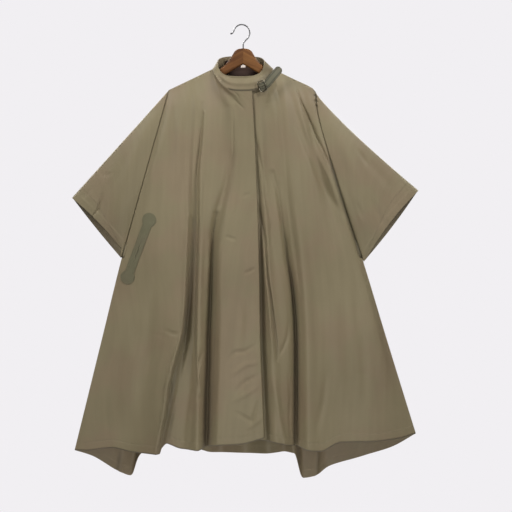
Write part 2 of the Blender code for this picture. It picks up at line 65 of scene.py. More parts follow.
FAR = 1e9
TINY = 1e-9
MERGE_DISTANCE = 1e-6
SLIVER = 1e-7

# Levels of a fold's table, counted from its top edge.
UNDERARM = 3
HEM = 5

# A crease fades at both ends as a stretch of a sine curve, raised to a power.
FADE_START = 0.06
FADE_SPAN = 0.88
FADE_POWER = 0.8

# Each slow wave has its length across, its length down and its share of the seed.
WAVES = ((37, 151, 1.0), (61, -97, 2.3), (210, 53, 3.1), (23, 310, 0.7))

# A stitch's sections: place along it, size and lift out of the cloth.
STITCH_ALONG = np.array([-0.5, -0.34, 0.0, 0.34, 0.5])
STITCH_SIZE = np.array([0.25, 0.85, 1.0, 0.85, 0.25])
STITCH_LIFT = np.array([-0.3, 0.35, 0.7, 0.35, -0.3])
STITCH_SIDES = 4

# The shoulder seam's places across and heights.
SHOULDER = np.array([(-200, -175), (-83, -119), (81, -119), (143, -149), (172, -162), (188, -171),
                     (197, -181)], dtype=float)


def smooth_step(t: Array) -> Array:
    """Run from 0 to 1 with level ends: 3t squared less 2t cubed."""
    t = np.clip(t, 0, 1)
    return t * t * (3 - 2 * t)


def bell(distance: Array, width: Array | float) -> Array:
    """Bell curve: 1 at no distance and almost nothing two widths away."""
    return np.exp(-(distance / width) ** 2)


def signed_power(values: Array, power: float) -> Array:
    """Raise the size of each value to a power and keep its sign."""
    return np.sign(values) * np.abs(values) ** power


def unit(vectors: Array) -> Array:
    """Scale vectors on the last axis to length 1."""
    return vectors / np.maximum(np.linalg.norm(vectors, axis=-1, keepdims=True), TINY)


def full_turn(count: int) -> Array:
    """Even angles round a circle, in radians."""
    return np.linspace(0, 2 * np.pi, count, endpoint=False)


def shares_across(count: int) -> Array:
    """Shares from -1 to 1, closest together at both ends."""
    return np.sin(np.linspace(-np.pi / 2, np.pi / 2, count))


def opening_steps(reach: float, count: int) -> Array:
    """Places from 0 towards reach, closest together at 0."""
    return reach * np.linspace(0, 1, count, endpoint=False) ** 2


def shoulder_height(x: Array | float) -> Array:
    """Height of the shoulder seam at places across."""
    return np.interp(x, SHOULDER[:, 0], SHOULDER[:, 1])


def read_smoothly(values: Sequence, places: Array) -> Array:
    """Read a table between its rows with a cubic that is level at each high or low value.

    Args:
        values: rows given at 0, 1, 2 and so on along the first axis.
        places: where to read them, counted in rows.

    Returns:
        One row for each place.
    """
    table = np.asarray(values, dtype=float)
    places = np.asarray(places, dtype=float)
    steps = np.diff(table, axis=0)
    product = steps[:-1] * steps[1:]
    total = np.where(product > 0, steps[:-1] + steps[1:], 1)
    inner = np.where(product > 0, 2 * product / total, 0)
    slopes = np.concatenate([steps[:1], inner, steps[-1:]])
    index = np.clip(places.astype(int), 0, len(table) - 2)
    t = (places - index).reshape((-1,) + (1,) * (table.ndim - 1))
    square = t * t
    cube = square * t
    return ((2 * cube - 3 * square + 1) * table[index] + (cube - 2 * square + t) * slopes[index]
            + (3 * square - 2 * cube) * table[index + 1] + (cube - square) * slopes[index + 1])


def read_line(values: Array, run: Array, at: Array) -> Array:
    """Read the points or directions of a line, given at run's lengths, at other lengths."""
    return np.stack([np.interp(at, run, values[:, axis]) for axis in range(3)], axis=-1)


def read_grid(grid: Array, u: Array, v: Array) -> Array:
    """Read a grid between its points, at places counted in columns and rows."""
    i = np.clip(u.astype(int), 0, grid.shape[0] - 2)
    k = np.clip(v.astype(int), 0, grid.shape[1] - 2)
    a = (u - i)[..., None]
    b = (v - k)[..., None]
    near = grid[i, k] * (1 - b) + grid[i, k + 1] * b
    far = grid[i + 1, k] * (1 - b) + grid[i + 1, k + 1] * b
    return near * (1 - a) + far * a


def run_length(points: Array, axis: int) -> Array:
    """Length along a grid axis from its first point, in the points' unit."""
    steps = np.linalg.norm(np.diff(points, axis=axis), axis=-1)
    start = np.zeros_like(np.take(steps, [0], axis=axis))
    return np.cumsum(np.concatenate([start, steps], axis=axis), axis=axis)


def grid_normals(points: Array) -> Array:
    """Directions across a grid surface: the cross product of its two tangents."""
    return unit(np.cross(np.gradient(points, axis=0), np.gradient(points, axis=1)))


class Crossing(Enum):
    """Cross profile of a crease."""

    TROUGH = "trough"
    STEP = "step"


class Crease(NamedTuple):
    """A crease drawn on the front view, in millimetres, with its half width and height."""

    path: tuple
    width: float
    height: float
    crossing: Crossing = Crossing.TROUGH


def crease_relief(x: Array, z: Array, creases: Sequence[Crease]) -> Array:
    """Height that creases add to a cloth at front-view places.

    Each crease is a polyline. A trough falls off as a bell curve of the distance from it, and
    a step rises on the right of its path, drawn downwards, and sinks on the left. Both fade
    towards the crease's two ends.

    Args:
        x: places across, in millimetres.
        z: heights, in millimetres.
        creases: the creases to press in.

    Returns:
        Heights out of the cloth, in millimetres, in the shape of x.
    """
    relief = np.zeros_like(x)
    for crease in creases:
        points = np.asarray(crease.path, dtype=float)
        legs = np.diff(points, axis=0)
        lengths = np.linalg.norm(legs, axis=1)
        starts = np.concatenate([[0], np.cumsum(lengths)[:-1]])
        nearest = np.full_like(x, FAR)
        side = np.zeros_like(x)
        along = np.zeros_like(x)
        for start, leg, length, before in zip(points, legs, lengths, starts):
            dx = x - start[0]
            dz = z - start[1]
            t = np.clip((dx * leg[0] + dz * leg[1]) / length ** 2, 0, 1)
            gap = np.hypot(dx - t * leg[0], dz - t * leg[1])
            closer = gap < nearest
            nearest = np.where(closer, gap, nearest)
            side = np.where(closer, np.sign(leg[0] * dz - leg[1] * dx), side)
            along = np.where(closer, (before + t * length) / lengths.sum(), along)
        profile = bell(nearest, crease.width)
        if crease.crossing is Crossing.STEP:
            reach = nearest / crease.width
            profile = side * reach * np.exp(0.5 - 0.5 * reach ** 2)
        relief += crease.height * np.sin(np.pi * (FADE_START + FADE_SPAN * along)) ** FADE_POWER * profile
    return relief


def slow_waves(x: Array, z: Array, seed: float) -> Array:
    """Low unevenness of hung cloth: the mean of crossing sine waves, within 1 and -1."""
    return sum(np.sin(x / across + z / down + turn * seed) for across, down, turn in WAVES) / len(WAVES)


class Shade:
    """A socket's value in a node tree. Arithmetic on it adds Math nodes."""

    def __init__(self, nodes: "NodeTree", socket: bpy.types.NodeSocket) -> None:
        """Hold the socket and the tree it lies in."""
        self.nodes = nodes
        self.socket = socket

    def math(self, operation: str, *others: "Shade | float") -> "Shade":
        """Add a Math node.

        Args:
            operation: the node's operation.
            others: the other operands, values or numbers.

        Returns:
            The node's result.
        """
        operands = dict(enumerate((self, *others)))
        return self.nodes.value("ShaderNodeMath", {"operation": operation}, operands)

    def __add__(self, other: "Shade | float") -> "Shade":
        """Sum."""
        return self.math("ADD", other)

    def __sub__(self, other: "Shade | float") -> "Shade":
        """Difference."""
        return self.math("SUBTRACT", other)

    def __mul__(self, other: "Shade | float") -> "Shade":
        """Product."""
        return self.math("MULTIPLY", other)

    def sine(self) -> "Shade":
        """Sine, in radians."""
        return self.math("SINE")

    def span(self, low: float, high: float) -> "Shade":
        """Map the range from low to high smoothly onto 0 to 1, clamped."""
        settings = {"interpolation_type": "SMOOTHSTEP"}
        return self.nodes.value("ShaderNodeMapRange", settings, {0: self, 1: low, 2: high})


class NodeTree:
    """The nodes of a material or of the world."""

    def __init__(self, owner: bpy.types.Material | bpy.types.World) -> None:
        """Start with an empty tree."""
        owner.use_nodes = True
        self.tree = owner.node_tree
        self.tree.nodes.clear()

    def node(self, kind: str, settings: dict | None = None, inputs: dict | None = None) -> bpy.types.Node:
        """Add a node.

        Args:
            kind: the node's type.
            settings: attributes to set first.
            inputs: values or links of its sockets, by name or number.

        Returns:
            The new node.
        """
        made = self.tree.nodes.new(kind)
        for key, setting in (settings or {}).items():
            setattr(made, key, setting)
        for key, given in (inputs or {}).items():
            self.feed(made.inputs[key], given)
        return made

    def feed(self, socket: bpy.types.NodeSocket,
             given: "Shade | bpy.types.NodeSocket | float | tuple") -> None:
        """Link a value to a socket, or set the socket to a number or colour."""
        given = given.socket if isinstance(given, Shade) else given
        if isinstance(given, bpy.types.NodeSocket):
            self.tree.links.new(given, socket)
        else:
            socket.default_value = given

    def value(self, kind: str, settings: dict | None = None, inputs: dict | None = None,
              output: int | str = 0) -> Shade:
        """Add a node and wrap one of its outputs."""
        return Shade(self, self.node(kind, settings, inputs).outputs[output])


class Graph(NodeTree):
    """A material's node tree round one Principled shader."""

    def __init__(self, name: str) -> None:
        """Start a material with a shader and its output."""
        self.material = bpy.data.materials.new(name)
        super().__init__(self.material)
        self.shader = self.node("ShaderNodeBsdfPrincipled")
        self.node("ShaderNodeOutputMaterial", None, {"Surface": self.shader.outputs["BSDF"]})

    def place(self, output: str = "Object") -> Shade:
        """Coordinates of the surface, from the object or its UV map."""
        return self.value("ShaderNodeTexCoord", None, None, output)

    def part(self, vector: Shade, axis: int) -> Shade:
        """One coordinate of a vector."""
        return self.value("ShaderNodeSeparateXYZ", None, {0: vector}, axis)

    def vector(self, x: Shade, y: Shade, z: Shade) -> Shade:
        """Vector of three values."""
        return self.value("ShaderNodeCombineXYZ", None, {0: x, 1: y, 2: z})

    def noise(self, vector: Shade, scale: float, detail: float) -> Shade:
        """Noise about 0.5."""
        return self.value("ShaderNodeTexNoise", None, {"Vector": vector, "Scale": scale, "Detail": detail})

    def stretched_noise(self, vector: Shade, scale: tuple, detail: float) -> Shade:
        """Noise about 0.5 with a scale for each coordinate."""
        inputs = {0: vector, 1: scale}
        return self.noise(self.value("ShaderNodeVectorMath", {"operation": "MULTIPLY"}, inputs), 1.0, detail)

    def blend(self, factor: Shade, low: "Shade | tuple", high: "Shade | tuple") -> Shade:
        """Mix two colours."""
        colours = [(*c, 1.0) if isinstance(c, tuple) else c for c in (low, high)]
        inputs = {"Factor": factor, 6: colours[0], 7: colours[1]}
        return self.value("ShaderNodeMix", {"data_type": "RGBA"}, inputs, 2)

    def bump(self, height: Shade, distance: float, strength: float) -> Shade:
        """Normal of a surface with this relief, in metres."""
        inputs = {"Height": height, "Distance": distance, "Strength": strength}
        return self.value("ShaderNodeBump", None, inputs)

    def dress(self, **sockets: "Shade | float | tuple") -> bpy.types.Material:
        """Set the shader's sockets, with underscores for spaces, and give the material."""
        for key, given in sockets.items():
            self.feed(self.shader.inputs[key.replace("_", " ")], given)
        return self.material


class Surroundings(NodeTree):
    """The world: an even pale ground behind the object and a dimmer light round it."""

    def __init__(self, seen: tuple, ambient: tuple, strength: float) -> None:
        """Build the world.

        Args:
            seen: colour of the ground behind the object.
            ambient: colour of the light that the room gives.
            strength: strength of that light.
        """
        self.world = bpy.data.worlds.new("soft room")
        super().__init__(self.world)
        direct = self.value("ShaderNodeLightPath", None, None, "Is Camera Ray")
        room, ground = (
            self.node("ShaderNodeBackground", None, {"Color": (*colour, 1.0), "Strength": power}).outputs[0]
            for colour, power in ((ambient, strength), (seen, 1.0)))
        mixed = self.node("ShaderNodeMixShader", None, {0: direct, 1: room, 2: ground})
        self.node("ShaderNodeOutputWorld", None, {"Surface": mixed.outputs[0]})


@dataclass(frozen=True)
class ClothFinish:
    """Fine waterproof cotton: two close tones in soft patches, a plain weave and a faint sheen."""

    name: str
    light: tuple
    dark: tuple
    roughness: float = 0.56
    sheen: float = 0.05
    sheen_roughness: float = 0.4
    specular: float = 0.36
    unevenness: float = 0.16
    warmth: tuple = (1.02, 0.955, 0.995)
    patch_scale: float = 3.5
    hue_scale: float = 9.0
    streaks: tuple = (60.0, 5.0, 1.0)
    threads: tuple = (900.0, 420.0, 1.0)
    weave: float = 0.0009
    weave_depth: float = 0.00012
    weave_strength: float = 0.5
    # Painted shade: its colour as a share of the dark tone, and how far the seam attribute mixes it in.
    painted_shade_tone: float = 0.2
    painted_shade_share: float = 0.85
    tone_range: tuple = (0.22, 0.8)
    hue_range: tuple = (0.4, 0.62)

    def make(self) -> bpy.types.Material:
        """Make the material.

        The colour mixes broad, streaky and fine noise, turns a little warmer in patches and
        takes painted shade from the seam attribute: in seam grooves, deep creases, along edges and
        in other shaded places. The roughness follows the fine noise, and the bump is the
        product of the two threads' sine waves.

        Returns:
            The new material.
        """
        graph = Graph(self.name)
        place = graph.place()
        cloth = graph.place("UV")
        broad = graph.noise(place, self.patch_scale, 4.0)
        streak = graph.stretched_noise(cloth, self.streaks, 4.0)
        fine = graph.stretched_noise(cloth, self.threads, 2.0)
        tone = (broad * 0.75 + streak * 0.3 + fine * 0.28 - 0.16).span(*self.tone_range)
        turns = 2 * math.pi / self.weave
        weft = (graph.part(cloth, 0) * turns).sine()
        warp = (graph.part(cloth, 1) * turns).sine()
        relief = weft * warp * 0.5 + fine * 0.8
        # The seam attribute holds painted shade, from 0 to 1.
        seam = graph.value("ShaderNodeAttribute", {"attribute_name": "seam"}, None, "Fac")
        hue = graph.noise(place, self.hue_scale, 3.0).span(*self.hue_range)
        warm = [tuple(c * k for c, k in zip(colour, self.warmth)) for colour in (self.dark, self.light)]
        # The painted shade's colour, mixed in by the seam attribute below.
        sewn = tuple(c * self.painted_shade_tone for c in self.dark)
        colour = graph.blend(hue, graph.blend(tone, self.dark, self.light), graph.blend(tone, *warm))
        return graph.dress(Base_Color=graph.blend(seam * self.painted_shade_share, colour, sewn),
                           Roughness=fine * self.unevenness + (self.roughness - self.unevenness / 2),
                           Normal=graph.bump(relief, self.weave_depth, self.weave_strength),
                           Sheen_Weight=self.sheen, Sheen_Roughness=self.sheen_roughness,
                           Specular_IOR_Level=self.specular)


@dataclass(frozen=True)
class WoodFinish:
    """Varnished brown wood with grain along the arm."""

    name: str
    light: tuple
    dark: tuple
    slope: float
    bend_scale: float = 16.0
    bend: float = 0.008
    grain: tuple = (7.0, 120.0, 150.0)
    pores: tuple = (70.0, 1500.0, 1500.0)
    roughness: float = 0.48
    relief: float = 0.00025
    relief_strength: float = 0.35
    varnish: float = 0.05
    varnish_roughness: float = 0.45
    specular: float = 0.2
    tone_range: tuple = (0.25, 0.78)

    def make(self) -> bpy.types.Material:
        """Grain is noise stretched along the arm, warped by broader noise, with a thin clear varnish."""
        graph = Graph(self.name)
        place = graph.place()
        x, y, z = (graph.part(place, axis) for axis in range(3))
        across = z + x * self.slope + graph.noise(place, self.bend_scale, 2.0) * self.bend
        along = graph.vector(x, y, across)
        grain = graph.stretched_noise(along, self.grain, 6.0)
        pores = graph.stretched_noise(along, self.pores, 3.0)
        tone = (grain * 1.1 + pores * 0.3 - 0.2).span(*self.tone_range)
        return graph.dress(Base_Color=graph.blend(tone, self.dark, self.light),
                           Roughness=pores * 0.2 + self.roughness,
                           Normal=graph.bump(pores + grain, self.relief, self.relief_strength),
                           Coat_Weight=self.varnish, Coat_Roughness=self.varnish_roughness,
                           Specular_IOR_Level=self.specular)


@dataclass(frozen=True)
class MetalFinish:
    """Plated metal with fine drawn marks and duller patches."""

    name: str
    light: tuple
    dark: tuple
    roughness: float
    wear_scale: float = 260.0
    marks: tuple = (2600.0, 2600.0, 500.0)
    mark_depth: float = 0.00005
    mark_strength: float = 0.3
    wear_range: tuple = (0.35, 0.7)

    def make(self) -> bpy.types.Material:
        """Tone and roughness from fine noise."""
        graph = Graph(self.name)
        place = graph.place()
        wear = graph.noise(place, self.wear_scale, 4.0)
        marks = graph.stretched_noise(place, self.marks, 2.0)
        tone = wear.span(*self.wear_range)
        return graph.dress(Base_Color=graph.blend(tone, self.dark, self.light), Metallic=1.0,
                           Roughness=wear * 0.2 + marks * 0.1 + self.roughness,
                           Normal=graph.bump(marks, self.mark_depth, self.mark_strength))


@dataclass(frozen=True)
class PaperFinish:
    """Matt pale floor."""

    name: str
    tone: tuple
    roughness: float = 0.9
    specular: float = 0.1

    def make(self) -> bpy.types.Material:
        """One even pale colour."""
        return Graph(self.name).dress(Base_Color=(*self.tone, 1.0), Roughness=self.roughness,
                                      Specular_IOR_Level=self.specular)


def mesh_object(name: str, points: Array, quads: Array, uv: Array | None = None) -> bpy.types.Object:
    """Put points and quads into a smooth mesh object at the origin.

    Args:
        name: the piece's name.
        points: rows of x, y and z, in millimetres of the hanger's frame.
        quads: rows of four point numbers.
        uv: a pair for each point, in metres along the cloth.

    Returns:
        The linked object.
    """
    placed = (points.reshape(-1, 3) + (STEM_OFFSET, 0, 0)) * MM
    mesh = bpy.data.meshes.new(name)
    mesh.vertices.add(len(placed))
    mesh.vertices.foreach_set("co", placed.astype(np.float32).ravel())
    mesh.loops.add(quads.size)
    mesh.loops.foreach_set("vertex_index", quads.astype(np.int32).ravel())
    mesh.polygons.add(len(quads))
    mesh.polygons.foreach_set("loop_start", np.arange(0, quads.size, 4, dtype=np.int32))
    mesh.polygons.foreach_set("use_smooth", np.ones(len(quads), dtype=bool))
    if uv is not None:
        layer = mesh.uv_layers.new(name="cloth")
        layer.data.foreach_set("uv", uv.reshape(-1, 2)[quads.ravel()].astype(np.float32).ravel())
    mesh.update(calc_edges=True)
    mesh.validate()
    made = bpy.data.objects.new(name, mesh)
    bpy.context.scene.collection.objects.link(made)
    return made


def grid_quads(rows: int, columns: int, closed_rows: bool = False, closed_columns: bool = False) -> Array:
    """Quads of a grid of points, joined round where an axis is closed."""
    i = np.arange(rows if closed_rows else rows - 1)[:, None]
    k = np.arange(columns if closed_columns else columns - 1)[None, :]
    after_i = (i + 1) % rows
    after_k = (k + 1) % columns
    corners = [i * columns + k, after_i * columns + k, after_i * columns + after_k, i * columns + after_k]
    return np.stack([corner.ravel() for corner in corners], axis=-1)


def weld(made: bpy.types.Object) -> bpy.types.Object:
    """Merge doubled points of a piece and turn its faces outwards."""
    shape = bmesh.new()
    shape.from_mesh(made.data)
    bmesh.ops.remove_doubles(shape, verts=shape.verts, dist=MERGE_DISTANCE)
    bmesh.ops.dissolve_degenerate(shape, edges=shape.edges, dist=SLIVER)
    bmesh.ops.recalc_face_normals(shape, faces=shape.faces)
    shape.to_mesh(made.data)
    shape.free()
    return made


def sweep(name: str, route: Array, radius: Array, up: Array, closed: bool = False,
          sides: int = 14) -> bpy.types.Object:
    """Round rod along a route: a circle carried along it, shrunk to nothing at open ends.

    Args:
        name: the piece's name.
        route: points of its middle line.
        radius: its radius at each point.
        up: a direction that the route never runs along.
        closed: whether the route is a loop.
        sides: points round the circle.

    Returns:
        The new object.
    """
    ahead = np.roll(route, -1, axis=0) - np.roll(route, 1, axis=0) if closed else np.gradient(route, axis=0)
    ahead = unit(ahead)
    side = unit(np.cross(ahead, up))
    over = np.cross(side, ahead)
    turn = full_turn(sides)[None, :, None]
    ring = np.cos(turn) * side[:, None] + np.sin(turn) * over[:, None]
    points = route[:, None] + ring * np.reshape(radius, (-1, 1, 1))
    if not closed:
        points = np.concatenate([np.broadcast_to(route[0], points[:1].shape), points,
                                 np.broadcast_to(route[-1], points[:1].shape)])
    return weld(mesh_object(name, points, grid_quads(points.shape[0], sides, closed, True)))


def dress(made: bpy.types.Object, material: bpy.types.Material, slot: str, *nodes: str) -> None:
    """Give a piece its material and body, and hide the nodes that it stands for."""
    made.data.materials.append(material)
    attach(made, "root")
    if nodes:
        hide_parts(*nodes)
    LOG.info("%s: %d points", made.name, len(made.data.vertices))


def cloth_piece(name: str, grid: Array, wall: float, seam: Array | None = None,
                closed: bool = False) -> bpy.types.Object:
    """Thin shell on a grid of cloth points, with its own flat coordinates as UV map.

    Args:
        name: the piece's name.
        grid: points in millimetres, columns by rows.
        wall: the cloth's thickness, half of it to each side of the points.
        seam: painted shade of each point, from 0 to 1, as at a seam or in a deep fold.
        closed: whether the rows join round.

    Returns:
        The new object.
    """
    across = run_length(grid, 0)
    across = across - across[len(grid) // 2][None]
    uv = np.stack([across, run_length(grid, 1)], axis=-1) * MM
    made = mesh_object(name, grid, grid_quads(grid.shape[0], grid.shape[1], False, closed), uv)
    # The seam attribute stores painted shade for the cloth's colour.
    dark = np.zeros(grid.shape[:2]) if seam is None else seam
    layer = made.data.attributes.new("seam", "FLOAT", "POINT")
    layer.data.foreach_set("value", dark.astype(np.float32).ravel())
    solid = made.modifiers.new("wall", "SOLIDIFY")
    solid.thickness = wall * MM
    solid.offset = 0
    return made


def declare_sheet(grid: Array,
                  flat: tuple[float, float] | None = None, closed: bool = False) -> None:
    """Work out a cloth's flat width and length; they are not kept.

    Args:
        grid: its points, in millimetres.
        flat: the cut's width and length in millimetres, or the longest runs along the grid.
        closed: whether the rows join round.
    """
    whole = np.concatenate([grid, grid[:, :1]], axis=1) if closed else grid
    width, length = flat or (run_length(whole, 0)[-1].max(), run_length(whole, 1)[:, -1].max())
    width * MM
    length * MM


class Stitch(NamedTuple):
    """Sizes of a stitch: distance to the next one, length and thread radius, in millimetres."""

    pitch: float
    length: float
    thread: float


HEM_STITCH = Stitch(4.0, 2.9, 0.38)
FINE_STITCH = Stitch(3.2, 2.3, 0.3)


def stitch_row(points: Array, outward: Array, stitch: Stitch) -> Array:
    """Small rounded stitches along a line on the cloth.

    Each stitch is a four-sided spindle: its section is a diamond that shrinks at both ends,
    and its middle stands out of the cloth.

    Args:
        points: the line, in millimetres.
        outward: the cloth's direction out at each point.
        stitch: the stitch's sizes.

    Returns:
        The stitches' points: stitches by sections by corners.
    """
    run = run_length(points, 0)
    at = np.arange(stitch.pitch / 2, run[-1], stitch.pitch)
    out = unit(read_line(outward, run, at))
    ahead = unit(read_line(points, run, at + 0.5) - read_line(points, run, at - 0.5))
    side = unit(np.cross(ahead, out))
    along = STITCH_ALONG * stitch.length
    size = STITCH_SIZE[:, None] * stitch.thread
    turn = np.arange(STITCH_SIDES) * np.pi / 2
    aside = np.cos(turn)[None] * size
    above = np.sin(turn)[None] * size + STITCH_LIFT[:, None] * stitch.thread
    spindle = (along[None, :, None, None] * ahead[:, None, None]
               + aside[None, ..., None] * side[:, None, None]
               + above[None, ..., None] * out[:, None, None])
    return read_line(points, run, at)[:, None, None] + spindle


def stitch_piece(name: str, rows: Sequence[Array]) -> bpy.types.Object:
    """Join rows of stitches into one mesh."""
    stitches = np.concatenate(rows)
    sections, corners = stitches.shape[1:3]
    quads = grid_quads(sections, corners, False, True)
    faces = (np.arange(len(stitches)) * (sections * corners))[:, None, None] + quads[None]
    return mesh_object(name, stitches.reshape(-1, 3), faces.reshape(-1, 4))


class Fold(NamedTuple):
    """One line of a panel from its top edge to the hem, in millimetres.

    x has six places: top edge, yoke, chest, underarm, hip and hem. depth is the distance from
    the hanger's plane at the last five of them, and hem is the height of the hem's edge.
    """

    name: str
    hem: float
    x: tuple
    depth: tuple


FRONT_RIGHT = (
    Fold("side seam", -1147, (-200, -215, -268, -327, -382, -455), (13, 17, 0.62, 0.62, 0.62)),
    Fold("side panel", -1149, (-181, -198, -243, -252, -257, -311), (22, 26, 22, 22, 20)),
    Fold("overlapping ridge", -1152, (-149, -146, -156, -150, -174, -226), (28, 36, 40, 50, 60)),
    Fold("deep trough", -1136, (-133, -126, -134, -133, -152, -202), (22, 26, 26, 30, 34)),
    Fold("recess", -1140, (-122, -114, -120, -125, -135, -161), (24, 30, 28, 28, 28)),
    Fold("lit ridge", -1143, (-105, -96, -100, -113, -119, -123), (28, 37, 41, 46, 50)),
    Fold("neck point", -1139, (-83, -60, -70, -96, -101, -109), (37, 40, 36, 34, 33)),
    Fold("neck turn", -1137, (-80, -50, -62, -91, -96, -105), (39, 40, 35, 31, 28)),
    Fold("groove", -1134, (-64, -28, -45, -80, -84, -95), (43, 41, 31, 23, 18)),
    Fold("middle edge", -1127, (-44, -4, -20, -56, -59, -68), (52, 52, 57, 62, 66)),
    Fold("middle", -1123, (-10, 12, 9, -6, -9, -7), (54, 53, 58, 64, 70)),
    Fold("closing edge", -1106, (25, 28, 37, 43, 47, 57.5), (54, 53, 58, 65, 71)),
)

FRONT_LEFT = (
    Fold("underlap edge", -1112, (0, 1, 7, 13, 18, 24), (45, 44, 47, 51, 54)),
    Fold("behind the closing", -1116, (22, 32, 41, 48, 54, 62), (41, 39, 41, 43, 46)),
    Fold("narrow ridge", -1122, (36, 47, 57, 65, 76, 90), (43, 45, 51, 55, 56)),
    Fold("narrow trough", -1126, (48, 60, 72, 82, 97, 109), (40, 40, 43, 46, 48)),
    Fold("plane", -1130, (60, 76, 88, 103, 119, 125), (38, 38, 39, 40, 38)),
    Fold("dark groove", -1133, (71, 90, 103, 125, 143, 144), (33, 32, 28, 22, 18)),
    Fold("neck turn", -1135, (78, 96, 111, 134, 151, 152), (33.5, 34, 33, 31, 28)),
    Fold("neck point", -1137, (81, 101, 117, 141, 157, 159), (34, 36, 38, 38, 36)),
    Fold("lit ridge", -1142, (98, 114, 132, 158, 172, 175), (36, 42, 49, 53, 55)),
    Fold("wave", -1145, (110, 131, 153, 183, 203, 209), (31, 36, 40, 43, 44)),
    Fold("front panel", -1122, (128, 154, 187, 224, 248, 264), (26, 29, 30, 32, 32)),
    Fold("armhole trough", -1121, (160, 172, 216, 275, 322, 345), (18, 13, 17, 24, 26)),
    Fold("armhole ridge", -1114, (182, 190, 237, 302, 364, 416), (17, 21, 12, 14, 14)),
    Fold("side seam", -1102, (195, 200, 252, 320, 388, 466), (13, 17, 0.62, 0.62, 0.62)),
)

BACK = (
    Fold("right side seam", -1147, (-200, -215, -268, -327, -382, -455), (13, 17, 0.62, 0.62, 0.62)),
    Fold("right edge", -1164, (-187, -203, -249, -300, -346, -410), (18, 24, 15, 15, 17)),
    Fold("right flap fold", -1212, (-172, -182, -216, -248, -280, -338), (25, 33, 33, 39, 45)),
    Fold("right flap tip", -1224, (-160, -166, -194, -221, -248, -309), (28, 38, 42, 51, 61)),
    Fold("right flap end", -1166, (-146, -148, -172, -196, -220, -283), (26, 31, 31, 34, 34)),
    Fold("right trough", -1128, (-128, -128, -146, -161, -176, -226), (24, 26, 24, 22, 18)),
    Fold("right ridge", -1140, (-105, -103, -114, -123, -132, -160), (32, 42, 48, 57, 63)),
    Fold("right neck point", -1152, (-83, -80, -86, -92, -98, -112), (37, 40, 40, 42, 42)),
    Fold("right neck quarter", -1157, (-70, -66, -70, -74, -79, -88), (41, 42, 40, 39, 36)),
    Fold("right inner trough", -1156, (-48, -46, -49, -52, -55, -60), (44, 42, 38, 34, 27)),
    Fold("middle ridge", -1164, (-1, 0, 0, 2, 4, 6), (51, 54, 58, 66, 72)),
    Fold("left inner trough", -1160, (46, 47, 51, 56, 60, 66), (44, 42, 38, 34, 28)),
    Fold("left neck quarter", -1158, (68, 67, 72, 78, 84, 92), (41, 42, 40, 39, 36)),
    Fold("left neck point", -1156, (81, 81, 88, 95, 102, 112), (37, 40, 42, 44, 42)),
    Fold("left trough", -1158, (99, 103, 113, 121, 128, 138), (29, 31, 28, 24, 20)),
    Fold("left flap tip", -1232, (116, 122, 135, 146, 154, 164), (30, 38, 46, 57, 68)),
    Fold("left flap ridge", -1226, (128, 135, 151, 167, 179, 196), (28, 36, 43, 52, 62)),
    Fold("left flap fall", -1196, (143, 152, 174, 195, 210, 232), (25, 30, 32, 36, 36)),
    Fold("left edge ridge", -1168, (163, 177, 212, 251, 285, 325), (21, 28, 31, 36, 40)),
    Fold("left edge", -1140, (183, 194, 236, 293, 347, 404), (17, 22, 17, 19, 20)),
    Fold("left side seam", -1102, (195, 200, 252, 320, 388, 466), (13, 17, 0.62, 0.62, 0.62)),
)

